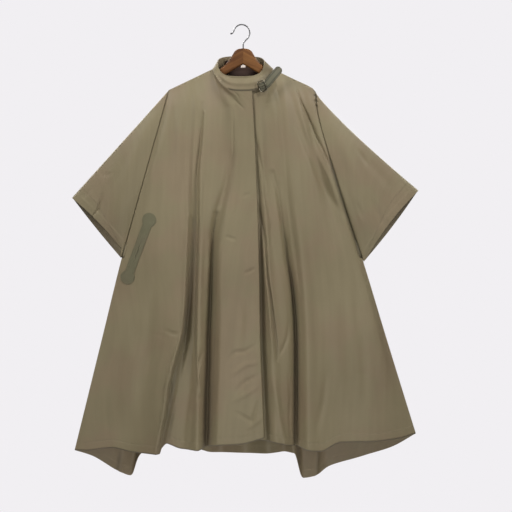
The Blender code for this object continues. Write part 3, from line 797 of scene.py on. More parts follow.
FRONT_RIGHT_CREASES = (
    Crease(((-186, -230), (-190, -330), (-206, -445)), 9, -3.0),
    Crease(((-168, -240), (-171, -330), (-178, -440)), 8, 2.5),
    Crease(((-150, -250), (-153, -330), (-158, -440), (-156, -540)), 6, -3.0),
    Crease(((-198, -256), (-232, -360), (-260, -458)), 15, 3.0),
    Crease(((-110, -215), (-113, -300), (-121, -364), (-126, -418), (-127, -500),
            (-127, -600)), 6, -4.5),
    Crease(((-106, -240), (-112, -320), (-118, -390), (-119, -470), (-120, -560), (-124, -674),
            (-126, -790), (-126, -850), (-123, -940), (-117, -985)), 3.5, 4.5, Crossing.STEP),
    Crease(((-144, -520), (-147, -600), (-149.5, -674), (-153, -751), (-159, -828), (-173, -875),
            (-186, -921), (-197, -965), (-208, -1055), (-221, -1114), (-227, -1140),
            (-240, -1240)), 4, -6.5, Crossing.STEP),
    Crease(((-138, -530), (-141, -620), (-143, -690), (-146, -760), (-152, -835), (-165, -885),
            (-178, -930), (-190, -975), (-201, -1060), (-214, -1120), (-222, -1160),
            (-234, -1300)), 10, -12.0),
    Crease(((-26, -235), (-26, -300), (-26, -352), (-33, -382)), 2.6, -2.6),
    Crease(((-30, -360), (-50, -445), (-69, -499), (-81, -553), (-84, -620)), 9, -5.5),
    Crease(((-72, -510), (-82, -565), (-84, -640), (-88, -740), (-93, -840), (-94, -910), (-98, -1000),
            (-99, -1090), (-102, -1150), (-106, -1330)), 6, -14.0),
    Crease(((-104, -420), (-108, -540), (-112, -640), (-114, -760), (-113, -860),
            (-114, -960)), 6, 3.0),
    Crease(((-62, -540), (-68, -620), (-72, -740), (-76, -860), (-82, -1000), (-86, -1130),
            (-88, -1300)), 6, 4.0),
    Crease(((-103, -868), (-117, -903), (-121, -940)), 4, -3.2),
    Crease(((-138, -985), (-111, -1004), (-128, -1012)), 3.5, -2.4),
    Crease(((-140, -1000), (-146, -1070), (-158, -1150)), 8, 3.0),
    Crease(((-204, -823), (-188, -830), (-173, -829)), 2.4, -3.4),
    Crease(((-240, -832), (-219, -834)), 2.5, -1.4),
    Crease(((-217, -842), (-206, -842)), 2.2, -1.4),
    Crease(((-230, -640), (-246, -760), (-252, -900), (-270, -1040)), 13, -2.8),
    Crease(((-422, -1025), (-400, -1036), (-379, -1052)), 7, -2.2),
    Crease(((-330, -760), (-300, -900), (-322, -1060)), 22, 3.0),
    Crease(((-360, -800), (-372, -930), (-405, -1080)), 16, -2.6),
    Crease(((4, -670), (31, -656)), 2.4, -4.0),
    Crease(((-46, -571), (-20, -579)), 3, -2.8),
    Crease(((0, -464), (18, -456)), 3, -1.6),
    Crease(((-40, -905), (-24, -880), (6, -876), (34, -858)), 3.4, -3.8),
    Crease(((-30, -940), (5, -912), (40, -905)), 4, 3.6),
    Crease(((-20, -985), (4, -958), (40, -940)), 3.4, -4.0),
    Crease(((-28, -1010), (8, -990), (42, -968)), 4, 3.4),
    Crease(((-19, -1039), (24, -1062), (40, -1010)), 3.4, -3.8),
    Crease(((13, -1082), (51, -1052)), 4, 3.4),
    Crease(((-8, -735), (-2, -800), (-14, -862)), 5, -1.8),
    Crease(((10, -730), (14, -790), (2, -850)), 6, 1.6),
    Crease(((-78, -138), (-66, -166), (-55, -186), (-42, -203), (-31, -222), (-29, -260),
            (-32, -330)), 14, 6.5),
    Crease(((-38, -174), (-17, -191), (-10, -202)), 2.6, -1.8),
    Crease(((-23, -205), (-8, -221), (2, -231)), 3, -1.6),
    Crease(((30, -210), (37, -418), (43, -626), (47, -850), (57.5, -1106), (62, -1300)), 12, -2.5),
)

FRONT_LEFT_CREASES = (
    Crease(((143, -170), (158, -212), (176, -248), (197, -299), (218, -344), (232, -380)), 2.6, -7.0),
    Crease(((128, -190), (155, -281), (176, -341), (207, -417), (230, -457), (252, -490),
            (272, -514)), 9, -5.0),
    Crease(((150, -230), (176, -300), (205, -360), (228, -410), (255, -470)), 7, 3.5),
    Crease(((84, -205), (92, -250), (100, -340), (104, -420)), 11, 5.0),
    Crease(((33, -300), (44, -356), (52, -395), (57, -431), (60, -463), (67, -499), (73, -537),
            (74, -590)), 4, -3.5),
    Crease(((30, -175), (36, -240), (42, -330), (46, -420), (46, -500)), 12, 8.0),
    Crease(((36, -478), (47, -511), (55, -547), (60, -586), (63, -634), (66, -680), (74, -731),
            (84, -809), (90, -859), (91, -900)), 3.5, -6.5),
    Crease(((44, -530), (52, -590), (58, -650), (63, -700), (70, -770), (76, -840),
            (80, -890)), 4.5, 5.0),
    Crease(((91, -875), (97, -886), (108, -868), (118, -840), (122, -800)), 4, -3.0),
    Crease(((80, -400), (92, -447), (101, -508), (107, -553), (114, -590), (118, -628), (127, -673),
            (134, -720), (140, -790), (142, -866), (142, -998), (140, -1133), (140, -1320)), 6, -12.0),
    Crease(((100, -420), (118, -520), (128, -600), (140, -673), (150, -740), (156, -866), (158, -1000),
            (160, -1140), (160, -1300)), 7, 4.0),
    Crease(((122, -940), (125, -1000), (124, -1060), (128, -1140), (130, -1250)), 4, -3.5),
    Crease(((82, -950), (96, -1040), (112, -1120), (122, -1200)), 7, 5.0),
    Crease(((306, -931), (323, -940), (337, -951)), 2.5, -2.0),
    Crease(((230, -700), (252, -860), (262, -1010)), 20, 3.0),
    Crease(((330, -690), (362, -840), (392, -1000)), 18, 3.0),
    Crease(((300, -720), (318, -850), (330, -1000)), 14, -2.6),
    Crease(((196, -1090), (214, -1015), (222, -940)), 9, -3.0),
    Crease(((186, -176), (192, -206)), 1.6, -1.8),
    Crease(((20, -190), (36, -184), (52, -178)), 2.5, -4.0),
    Crease(((80, -136), (70, -166), (62, -190), (60, -215)), 11, 7.0),
    Crease(((36, -330), (43, -470), (47, -626), (50, -850), (62, -1106), (68, -1330)), 6, -7.0),
)

BACK_CREASES = (
    Crease(((-190, -250), (-214, -360), (-240, -470)), 14, -2.8),
    Crease(((-150, -240), (-165, -380), (-170, -520)), 13, 2.2),
    Crease(((168, -228), (196, -320), (232, -440)), 12, -2.6),
    Crease(((60, -200), (30, -260), (-10, -300)), 9, -1.6),
    Crease(((-60, -205), (-34, -262), (-4, -296)), 8, -1.4),
    Crease(((-300, -760), (-318, -900), (-352, -1060)), 20, 2.4),
    Crease(((-20, -660), (26, -672)), 5, -1.2, Crossing.STEP),
    Crease(((-14, -880), (34, -902)), 6, -1.4),
    Crease(((110, -960), (150, -944)), 6, -1.2, Crossing.STEP),
    Crease(((-150, -1010), (-112, -1030)), 6, -1.3),
    Crease(((300, -780), (330, -900), (350, -1040)), 18, 2.4),
    Crease(((-222, -700), (-196, -716)), 5, -1.2),
    Crease(((250, -1010), (286, -1030), (300, -1070)), 8, -1.6),
    Crease(((-333, -1100), (-339, -1160), (-346, -1230)), 3.4, 8.0),
    Crease(((206, -1090), (206, -1160), (202, -1240)), 3.4, 8.0),
    Crease(((-82, -126), (-79, -150), (-76, -180), (-78, -230)), 11, 7.0),
    Crease(((80, -126), (78, -150), (75, -180), (77, -230)), 11, 7.0),
)

SLEEVE_RIGHT_CREASES = (
    Crease(((-382, -401), (-366, -405), (-350, -402)), 2.4, -2.4),
    Crease(((-380, -458), (-383, -474), (-391, -499), (-408, -522)), 3, -4.5),
    Crease(((-250, -260), (-300, -380), (-336, -520)), 16, 2.4),
    Crease(((-300, -330), (-352, -440), (-372, -560)), 14, -2.2),
    Crease(((-410, -440), (-430, -468)), 6, -1.4),
)

SLEEVE_LEFT_CREASES = (
    Crease(((310, -329), (334, -372)), 6, -2.0),
    Crease(((348, -472), (366, -512), (383, -553)), 8, -2.4),
    Crease(((307, -480), (321, -518)), 6, -1.8),
    Crease(((250, -290), (300, -400), (336, -530)), 15, 2.6),
    Crease(((330, -350), (392, -430), (410, -500)), 14, -2.2),
    Crease(((268, -420), (300, -500), (322, -580)), 10, -2.0),
)


@dataclass(frozen=True)
class Neck:
    """Neck seam and collar edge as rings seen from above."""

    middle: float = -1
    half_width: float = 82
    half_depth: float = 50
    squareness: float = 0.6
    side_height: float = -119
    front_drop: float = 63
    drop_power: float = 2
    overlap: float = 5
    overlap_from: float = 560
    overlap_to: float = 620
    top_middle: float = -6
    top_half_width: float = 62
    top_half_depth: float = 48
    top_side_height: float = -97
    top_back_rise: float = 20
    top_front_drop: float = 47
    top_rise_power: float = 0.9
    top_drop_power: float = 0.8
    # Where the painted shade along the neck seam shows: half width and fade.
    sewn_half: float = 44
    sewn_ease: float = 10

    def sewn(self, points: Array) -> Array:
        """How far the painted shade along the neck seam shows as a line, from 0 to 1: only at the middle of
        the front.
        """
        return smooth_step((self.sewn_half - np.abs(points[..., 0])) / self.sewn_ease) * (points[..., 1] < 0)

    def swell(self, angle: Array) -> Array:
        """Outward step where the right front lies over the left one."""
        share = (angle - self.overlap_from) / (self.overlap_to - self.overlap_from)
        return self.overlap * smooth_step(share)

    def ring(self, angle: Array) -> Array:
        """Points of the neck seam: a squared ellipse that drops towards the front."""
        turn = np.radians(angle)
        x = self.middle + self.half_width * signed_power(np.cos(turn), self.squareness)
        y = (self.half_depth + self.swell(angle)) * np.sin(turn)
        drop = self.front_drop * np.clip(-np.sin(turn), 0, 1) ** self.drop_power
        return np.stack([x, y, self.side_height - drop], axis=-1)

    def angle(self, x: Array) -> Array:
        """Angle from 180 to 360 at which the front of the neck seam has this x."""
        share = np.clip((x - self.middle) / self.half_width, -1, 1)
        return 360 - np.degrees(np.arccos(signed_power(share, 1 / self.squareness)))

    def top(self, angle: Array) -> Array:
        """Points of the collar's upper edge: a smaller squared ellipse, high behind and low in front."""
        turn = np.radians(angle)
        x = self.top_middle + self.top_half_width * signed_power(np.cos(turn), self.squareness)
        y = (self.top_half_depth + self.swell(angle)) * np.sin(turn)
        rise = self.top_back_rise * np.clip(np.sin(turn), 0, 1) ** self.top_rise_power
        drop = self.top_front_drop * np.clip(-np.sin(turn), 0, 1) ** self.top_drop_power
        return np.stack([x, y, self.top_side_height + rise - drop], axis=-1)


@dataclass(frozen=True)
class HemRise:
    """A short rise of the hem: full at x, gone left and right of it, in millimetres."""

    x: float
    left: float
    right: float
    height: float
    start: float = -1000
    ease: float = 130

    def lift(self, x: Array, z: Array) -> Array:
        """How far points near the hem rise: one smooth step up, one down, growing below the start."""
        up = smooth_step((x - self.x + self.left) / self.left)
        down = smooth_step((self.x + self.right - x) / self.right)
        return self.height * (up * down) * smooth_step((self.start - z) / self.ease)


class Facing(Enum):
    """Which way a panel looks along Y."""

    FRONT = -1
    BACK = 1


@dataclass
class Panel:
    """A front or the back, hung from the shoulder and neck seams."""

    name: str
    folds: tuple
    facing: Facing
    creases: tuple
    neck: Neck
    steps: int
    seed: float
    overlapping: bool = False
    rows: int = 230
    wall: float = 1.2
    levels: tuple = (-229, -418, -626, -850)
    shoulder_seam: float = 0.1
    roll_depth: float = 9
    roll_height: float = 8
    roll_level: float = 0.1
    roll_rows: int = 14
    held_neck: float = 18
    held_shoulder: float = 60
    held_side: float = 0.9
    wave_height: float = 1.3
    hem_level: float = 4.88
    hem_rows: int = 25
    hem_turn: float = 22
    hem_turn_height: float = 0.7
    hem_turn_ease: float = 3
    hem_turn_side: float = 0.3
    hem_pucker: float = 0.35
    hem_pucker_reach: float = 9
    hem_pucker_length: float = 2.6
    hem_pucker_drift: float = 31
    hem_rises: tuple = ()
    # The armhole's groove and its painted shade: depth, width, fade at the underarm and widening at folds and
    # puckers.
    groove: float = 3.2
    groove_start: float = 30
    groove_width: float = 1.9
    sewn_past: float = 0.02
    sewn_ease: float = 0.04
    fold_width: float = 0
    fold_from: float = -330
    fold_ease: float = 70
    pucker: float = 0
    pucker_from: float = -235
    pucker_ease: float = 30
    pucker_length: float = 4.5
    # Painted shade in deep creases, a painted shadow line along the closing edge, and painted shade along the
    # front's hem and the neck seam.
    deep_crease: float = 5
    full_crease: float = 18
    crease_painted_shade: float = 0.5
    crease_from: float = -400
    crease_ease: float = 380
    closing_painted_shadow: float = 0.9
    closing_width: float = 1.6
    hem_painted_shade: float = 0.85
    hem_width: float = 1.8
    neck_width: float = 2
    search: tuple = (160, 200)
    search_rounds: int = 30
    search_pace: float = 0.8
    line_points: int = 400
    line_step: float = 0.02

    def seam_width(self, z: Array) -> Array:
        """Half width of the armhole's groove and of its painted shade: wider at the shoulder's puckers and
        where cloth folds over.
        """
        puckers = self.pucker * smooth_step((z - self.pucker_from) / self.pucker_ease)
        puckers = puckers * np.sin(z / self.pucker_length) ** 2
        folded = self.fold_width * smooth_step((self.fold_from - z) / self.fold_ease)
        return self.groove_width + puckers + folded

    def sewn_sides(self) -> tuple:
        """First and last fold, as far as a sleeve is sewn to it."""
        if self.facing is Facing.BACK:
            return 0, -1
        return (0,) if self.overlapping else (-1,)

    def crease_shade(self, x: Array, z: Array) -> Array:
        """Painted shade in the deepest creases: a share of their relief that grows down the panel."""
        way = self.facing.value
        deep = [crease for crease in self.creases
                if crease.height * way >= self.deep_crease and crease.crossing is Crossing.TROUGH]
        dark = np.clip(way * crease_relief(x, z, deep) / self.full_crease, 0, self.crease_painted_shade)
        return dark * smooth_step((self.crease_from - z) / self.crease_ease)

    def seam(self, columns: Array, levels: Array) -> Array:
        """Painted shade of the panel's points.

        It is a bell curve of the distance from the armhole seam, the closing edge, the front's
        hem and the neck seam, or the painted shade of a deep crease where that is darker: painted
        shade in the armhole's groove, a painted shadow line along the closing edge, and painted shade
        along the front's hem and the neck seam. The points also sink a little by it in surface().

        Args:
            columns: places counted in folds.
            levels: places counted in the table's six levels.

        Returns:
            Values from 0 to 1, columns by levels.
        """
        flat = self.surface(columns, levels, sewn=False)
        sides = self.surface(np.array([0.0, len(self.folds) - 1.0]), levels, sewn=False)[..., 0]
        x, z = flat[..., 0], flat[..., 2]
        above_underarm = smooth_step((UNDERARM + self.sewn_past - levels) / self.sewn_ease)
        # Painted shade in the armhole's groove, in deep creases and along the neck seam.
        marks = [bell(x - sides[side], self.seam_width(z)) * above_underarm for side in self.sewn_sides()]
        marks.append(self.crease_shade(x, z))
        marks.append(bell(z[:, :1] - z, self.neck_width) * self.neck.sewn(flat[:, :1]))
        # A painted shadow line along the closing edge, and painted shade along the front's hem.
        if self.overlapping:
            marks.append(self.closing_painted_shadow * bell(x - sides[-1], self.closing_width))
        if self.facing is Facing.FRONT:
            marks.append(self.hem_painted_shade * bell(z - z[:, -1:], self.hem_width))
        return np.maximum.reduce(marks)

    def surface(self, columns: Array, levels: Array, sewn: bool = True) -> Array:
        """Points of the panel.

        The fold table is read smoothly across and then down. Near the shoulder seam the depth
        follows a quarter ellipse over the hanger's arm. Creases, slow waves and the turned hem
        then move each point along Y, and the places of painted shade at seams, edges and creases sink a
        little.

        Args:
            columns: places counted in folds.
            levels: places counted in the table's six levels.
            sewn: whether the places of painted shade sink.

        Returns:
            Points in millimetres, columns by levels.
        """
        neck = self.neck
        heights = [(shoulder_height(f.x[0]), *self.levels, f.hem) for f in self.folds]
        depths = [(self.roll_depth, *f.depth) for f in self.folds]
        table = np.stack([[f.x for f in self.folds], depths, heights], axis=-1)
        table = read_smoothly(table, columns)
        top_x = table[:, 0, 0]
        angle = neck.angle(top_x)
        turned = 360 - angle if self.facing is Facing.BACK else angle + (360 if self.overlapping else 0)
        ring = neck.ring(turned)
        on_neck = np.abs(top_x - neck.middle) < neck.half_width
        edge = np.where(on_neck, np.maximum(np.abs(ring[:, 1]), self.shoulder_seam), self.shoulder_seam)
        table[:, 0, 1] = np.maximum(edge, self.roll_depth)
        table[:, 0, 2] = np.where(on_neck, ring[:, 2], shoulder_height(top_x))
        grid = np.moveaxis(read_smoothly(np.moveaxis(table, 1, 0), levels), 0, 1)
        x, depth, z = grid[..., 0], grid[..., 1], grid[..., 2]
        below_top = table[:, :1, 2] - z
        fall = np.clip(below_top / self.roll_height, 0, 1)
        depth = depth - (table[:, :1, 1] - edge[:, None]) * (1 - np.sqrt(1 - (1 - fall) ** 2))
        reach = np.where(on_neck, self.held_neck, self.held_shoulder)
        depth = depth + self.relief(x, z, below_top / reach[:, None], table[:, -1, 2], columns)
        # The places of painted shade also sink a little.
        if sewn:
            clear = smooth_step(below_top / self.groove_start)
            depth = depth - self.groove * self.seam(columns, levels) * clear
        lift = sum((rise.lift(x, z) for rise in self.hem_rises), np.zeros_like(z))
        return np.stack([x, self.facing.value * depth, z + lift], axis=-1)

    def relief(self, x: Array, z: Array, clear: Array, hem: Array, columns: Array) -> Array:
        """Creases, slow waves and the hem's turned edge, held back at the seams.

        Args:
            x: places across, in millimetres.
            z: heights, in millimetres.
            clear: distance from the top edge as a share of the held strip.
            hem: height of the hem at each column.
            columns: places counted in folds.

        Returns:
            Heights out of the cloth, in millimetres.
        """
        gaps = {0: columns, -1: len(self.folds) - 1 - columns}
        from_side = np.minimum.reduce([gaps[side] for side in self.sewn_sides()])[:, None]
        above_hem = z - hem[:, None]
        turn = self.hem_turn_height * smooth_step((self.hem_turn - above_hem) / self.hem_turn_ease)
        drift = 2 * np.sin(x / self.hem_pucker_drift)
        pucker = self.hem_pucker * np.sin(x / self.hem_pucker_length + drift)
        pucker = pucker * bell(above_hem - self.hem_turn, self.hem_pucker_reach)
        waves = slow_waves(x, z, self.seed) * self.wave_height
        hold = smooth_step(from_side / self.held_side) * smooth_step(clear)
        loose = (crease_relief(x, z, self.creases) + waves + pucker) * hold
        return loose + turn * smooth_step(from_side / self.hem_turn_side)

    def column_places(self) -> Array:
        """Even steps from fold to fold, closer ones beside the first and last fold."""
        last = len(self.folds) - 1
        edge = opening_steps(1, 2 * self.steps)
        middle = np.linspace(1, last - 1, (last - 2) * self.steps + 1)
        return np.concatenate([edge, middle, (last - edge)[::-1]])

    def level_places(self) -> Array:
        """Close rows over the shoulder's roll, even ones below it, and close ones at the hem."""
        roll = opening_steps(self.roll_level, self.roll_rows)
        fall = np.linspace(self.roll_level, self.hem_level, self.rows)
        return np.concatenate([roll, fall, np.linspace(self.hem_level, HEM, self.hem_rows)[1:]])

    def outward(self, points: Array) -> Array:
        """Directions out of the cloth at a grid of points on this panel's side."""
        out = grid_normals(points)
        return out * (np.sign(out[..., 1:2]) * self.facing.value)

    def locate(self, x: Array, z: Array, across: tuple, down: tuple) -> tuple[Array, Array]:
        """Find the panel's points at front-view places.

        A fine grid is read at a guess, and the guess moves by the misfit over the grid's own
        slope until both agree.

        Args:
            x: places across, in millimetres.
            z: heights, in millimetres.
            across: first and last fold of the part to search.
            down: first and last level of the part to search.

        Returns:
            The points and the directions out of the cloth.
        """
        wide, tall = self.search
        grid = self.surface(np.linspace(*across, wide), np.linspace(*down, tall))
        slopes = np.stack([np.gradient(grid[..., 0], axis=0), np.gradient(grid[..., 2], axis=1)], axis=-1)
        u = np.full(x.shape, wide / 2)
        v = np.full(x.shape, tall / 2)
        for _ in range(self.search_rounds):
            misfit = np.stack([x, z], axis=-1) - read_grid(grid, u, v)[..., [0, 2]]
            move = misfit / read_grid(slopes, u, v)
            u = np.clip(u + self.search_pace * move[..., 0], 0, wide - 1)
            v = np.clip(v + self.search_pace * move[..., 1], 0, tall - 1)
        return read_grid(grid, u, v), unit(read_grid(self.outward(grid), u, v))

    def hem_line(self, above: float) -> tuple[Array, Array]:
        """A line at this height above the hem, with the directions out of the cloth."""
        columns = np.linspace(0, len(self.folds) - 1, self.line_points)
        low = self.surface(columns, np.array([HEM - 1, HEM - 0.5, HEM]))
        half_level = float((low[:, 1, 2] - low[:, 2, 2]).mean())
        around = np.array([self.line_step, 0.0, -self.line_step])
        return self.face_line(self.surface(columns, HEM - around - 0.5 * above / half_level))

    def face_line(self, rows: Array) -> tuple[Array, Array]:
        """Middle line of three close ones, moved out to the cloth's face, and the way out."""
        out = self.outward(rows)[:, 1]
        return rows[:, 1] + out * (self.wall / 2), out


@dataclass
class Sleeve:
    """A short wing sleeve: one folded piece from the armhole to the open cuff."""

    name: str
    front: Panel
    back: Panel
    column_front: float
    column_back: float
    cuff_top: tuple
    cuff_end: tuple
    creases: tuple
    wall: float = 1.2
    columns: int = 90
    rows: int = 110
    cuff_half_depth: float = 13
    cuff_edge_depth: float = 1.2
    cuff_swell_start: float = 0.25
    front_rise: float = 0
    front_rise_power: float = 2.2
    front_rise_end: float = 0.03
    front_bow: float = 0
    top_dip: float = 0
    dip_scale: float = 2.6
    cuff_back_sag: float = 4
    # Painted shade inside the back's cuff, and how far it reaches from the cuff's edge.
    cuff_painted_shade: float = 0.5
    cuff_painted_shade_reach: float = 14
    belly: float = 7
    fullness: float = 2.1
    seam_tuck: float = 5
    seam_tuck_depth: float = 1.5
    tucked: tuple = (-1.0, -0.5)
    roll_height: float = 8
    roll_level: float = 0.1
    roll_rows: int = 12
    hem_turn: float = 20
    hem_turn_height: float = 0.7
    hem_turn_ease: float = 3
    hem_turn_end: float = 0.05
    held_seam: float = 0.15
    held_top: float = 0.2
    held_end: float = 0.12
    sink_rate: float = 12
    wave_height: float = 1.2
    wave_seed: float = 4.0
    sharp_width: float = 5
    end_steps: float = 0.14
    line_levels: tuple = (0.12, 2.9)
    line_points: int = 300
    line_step: float = 0.01

    def rise(self, share: Array) -> Array:
        """How far the front's cuff edge lies above the back's, from the top fold to the underarm."""
        steady = self.front_rise * (1 - (1 - share) ** self.front_rise_power)
        bowed = self.front_bow * np.sin(np.pi * share)
        return (steady + bowed) * smooth_step((1 - share) / self.front_rise_end)

    def level_places(self) -> Array:
        """Close rows over the top fold, then even ones to the underarm."""
        roll = opening_steps(self.roll_level, self.roll_rows)
        return np.concatenate([roll, np.linspace(self.roll_level, UNDERARM, self.rows)])

    def along_places(self) -> Array:
        """The tucked seam, then steps to the cuff that are closest at both ends."""
        t = np.linspace(0, 1, self.columns)
        return np.concatenate([self.tucked, t - self.end_steps * np.sin(2 * np.pi * t)])

    def layers(self, along: Array, levels: Array) -> list[Array]:
        """Front and back layers.

        Each point lies on the straight line from the armhole's edge to the cuff's, at a depth
        that runs from the armhole's to the cuff's and swells between them. The top fold dips a
        little, the front's cuff rises to the underarm and the back's hangs out behind it. Before
        the armhole the cloth tucks in behind the panel. Narrow creases are in the front only.

        Args:
            along: shares of the way to the cuff, below 0 for the tucked seam.
            levels: places from the top fold, 0, to the underarm, 3.

        Returns:
            Two grids, along by levels, in millimetres.
        """
        share = levels / UNDERARM
        way = np.clip(along, 0, 1)[:, None]
        tuck = np.clip(-along, 0, 1)[:, None]
        top = np.array([self.cuff_top[0], 0, self.cuff_top[1]], dtype=float)
        end = np.array([self.cuff_end[0], 0, self.cuff_end[1]], dtype=float)
        cuff_line = top + (end - top) * share[:, None]
        fall = np.clip(share * np.linalg.norm(end - top) / self.roll_height, 0, 1)
        round_top = np.sqrt(1 - (1 - fall) ** 2)
        swell = np.sin(np.pi * (self.cuff_swell_start + (1 - self.cuff_swell_start) * share))
        depth = round_top * (self.cuff_edge_depth + self.cuff_half_depth * swell)
        belly = self.belly * np.sin(np.pi * way) * np.sin(np.pi * share) * round_top
        dip = self.top_dip * self.dip_scale * np.sqrt(way) * (1 - way) * (1 - share) ** 2
        hold = smooth_step(way / self.held_seam) * smooth_step(fall - self.held_top)
        hold = hold * smooth_step((1 - share) / self.held_end)
        made = []
        for panel, column, sag, rise, narrowest in (
                (self.front, self.column_front, 0.0, self.rise(share), 0),
                (self.back, self.column_back, self.cuff_back_sag, 0 * share, self.sharp_width)):
            facing = panel.facing.value
            edge = panel.surface(np.array([column]), levels, sewn=False)[0]
            armhole = edge[-1] - edge[0]
            tall = np.hypot(armhole[0], armhole[2])
            up = np.array([-armhole[0], 0, -armhole[2]]) / tall
            away = np.array([armhole[2], 0, -armhole[0]]) / tall
            away *= math.copysign(1, away[0] * self.cuff_top[0])
            cuff = cuff_line + away * (sag * np.sin(np.pi * share))[:, None] + up * rise[:, None]
            cuff[:, 1] = facing * depth
            layer = edge * (1 - way[..., None]) + cuff * way[..., None]
            layer = layer - away * (tuck[..., None] * self.seam_tuck)
            x, z = layer[..., 0], layer[..., 2]
            bend = crease_relief(x, z, [crease for crease in self.creases if crease.width > narrowest])
            bend = bend + slow_waves(x, z, self.wave_seed + facing) * self.wave_height
            reach = np.linalg.norm(cuff - edge, axis=1)[None]
            to_cuff = (1 - way) * reach
            turn = self.hem_turn_height * smooth_step((self.hem_turn - to_cuff) / self.hem_turn_ease)
            turn = turn * round_top * smooth_step((1 - share) / self.hem_turn_end)
            sunk = panel.groove * bell(way * reach, panel.seam_width(z)) * smooth_step(share * self.sink_rate)
            tucked = tuck * self.seam_tuck_depth * round_top
            layer[..., 1] += facing * (belly + bend * hold + turn - sunk - tucked)
            layer[..., 2] -= dip
            layer[:, 0, 1] = 0
            made.append(layer)
        return made

    def grid(self) -> Array:
        """Rings that run down the front and up the back."""
        front, back = self.layers(self.along_places(), self.level_places())
        return np.concatenate([front, back[:, :0:-1]], axis=1)

    def seam(self, grid: Array) -> Array:
        """Painted shade of the grid's points, from 0 to 1: in the armhole seam's groove and inside the back's
        cuff.
        """
        start = len(self.tucked)
        gap = np.linalg.norm((grid - grid[start:start + 1])[..., [0, 2]], axis=-1)
        run = run_length(grid, 0)
        # Painted shade inside the back's cuff; the front layer's rows get none.
        shade = self.cuff_painted_shade * np.exp(-((run[-1:] - run) / self.cuff_painted_shade_reach) ** 4)
        shade[:, :len(self.level_places())] = 0
        return np.maximum(bell(gap, self.front.seam_width(grid[..., 2])), shade)

    def cut(self) -> tuple[float, float]:
        """Flat width and length: a little over twice the height from the top fold, by the fold."""
        front, _ = self.layers(np.array([0.0, 1.0]), np.array([0.0, UNDERARM]))
        fold = front[1, 0] - front[0, 0]
        side = front[0, 1] - front[0, 0]
        length = np.linalg.norm(fold)
        height = np.linalg.norm(np.cross(fold, side)) / length
        return self.fullness * height, max(length, float(fold @ side) / length)

    def cuff_lines(self, along: float) -> list[tuple[Array, Array]]:
        """Lines round the sleeve at one share of the way to the cuff, front and back."""
        around = np.array([along - self.line_step, along, along + self.line_step])
        layers = self.layers(around, np.linspace(*self.line_levels, self.line_points))
        panels = self.front, self.back
        return [panel.face_line(np.moveaxis(layer, 1, 0)) for panel, layer in zip(panels, layers)]


@dataclass
class Collar:
    """Stand collar with its label and size tab inside."""

    neck: Neck
    start: float = 276
    end: float = 670
    columns: int = 320
    rows: int = 26
    wall: float = 1.6
    foot_lift: float = 0.8
    tucked: tuple = (-0.12, -0.06)
    tuck_slope: float = 16
    ridge: float = 2.0
    ridge_at: float = 0.52
    ridge_width: float = 0.16
    ridge_sway: float = 0.05
    ridge_waves: int = 5
    dent: float = 1.4
    dent_at: float = 0.86
    dent_width: float = 0.1
    unevenness: float = 0.8
    uneven_waves: int = 9
    uneven_start: float = 1
    measured_points: int = 4000
    # Painted shade along the neck seam, and on the side that the strap shades.
    seam_width: float = 2
    shade: float = 0.5
    shade_angle: float = 336
    shade_spread: float = 22
    label_angles: tuple = (420, 480)
    label_heights: tuple = (-0.42, 0.72)
    label_inward: float = 1.5
    tab_angles: tuple = (448.6, 450.5)
    tab_heights: tuple = (0.235, 0.48)
    tab_inward: float = 2.4
    label_wall: float = 0.7
    label_columns: int = 60
    label_rows: int = 20

    def surface(self, angles: Array, shares: Array, out: float = 0.0) -> Array:
        """Points between the neck seam and the top edge, with the crumpled band of the front.

        Args:
            angles: places round the ring, in degrees.
            shares: shares of the height, below 0 for the edge tucked behind the neck seam.
            out: distance from the cloth's middle.

        Returns:
            Points in millimetres, angles by shares.
        """
        foot = self.neck.ring(angles)
        foot[:, 2] += self.foot_lift
        top = self.neck.top(angles)
        turn = np.radians(angles)[:, None]
        away = np.concatenate([np.cos(turn) / self.neck.top_half_width,
                               np.sin(turn) / self.neck.top_half_depth, np.zeros_like(turn)], axis=-1)
        points = foot[:, None] + (top - foot)[:, None] * shares[None, :, None]
        front = np.clip(-np.sin(turn), 0, 1) ** 2
        from_ridge = shares - self.ridge_at - self.ridge_sway * np.sin(turn * self.ridge_waves)
        crumple = self.ridge * bell(from_ridge, self.ridge_width) * front
        crumple = crumple - self.dent * bell(shares - self.dent_at, self.dent_width) * front
        soft = self.unevenness * np.sin(turn * self.uneven_waves + self.uneven_start)
        soft = soft * np.sin(np.pi * np.clip(shares, 0, 1))
        tucked = np.clip(-shares, 0, 1) * self.tuck_slope
        return points + (out + crumple + soft - tucked)[..., None] * unit(away)[:, None]

    def angles(self) -> Array:
        """Columns spread evenly along the neck seam."""
        dense = np.linspace(self.start, self.end, self.measured_points)
        run = run_length(self.neck.ring(dense), 0)
        return np.interp(np.linspace(0, run[-1], self.columns), run, dense)

    def grid(self) -> Array:
        """The collar from its tucked lower edge to its top."""
        return self.surface(self.angles(), np.concatenate([self.tucked, np.linspace(0, 1, self.rows)]))

    def seam(self, grid: Array) -> Array:
        """Painted shade from 0 to 1: along the neck seam, and softly on the side that the strap shades."""
        start = len(self.tucked)
        run = run_length(grid, 1)
        # Painted shade: a line along the neck seam, and a soft patch on the side under the strap.
        line = bell(run - run[:, start:start + 1], self.seam_width) * self.neck.sewn(grid[:, start:start + 1])
        side = self.shade * bell(self.angles() - self.shade_angle, self.shade_spread)
        return np.maximum(line, side[:, None])


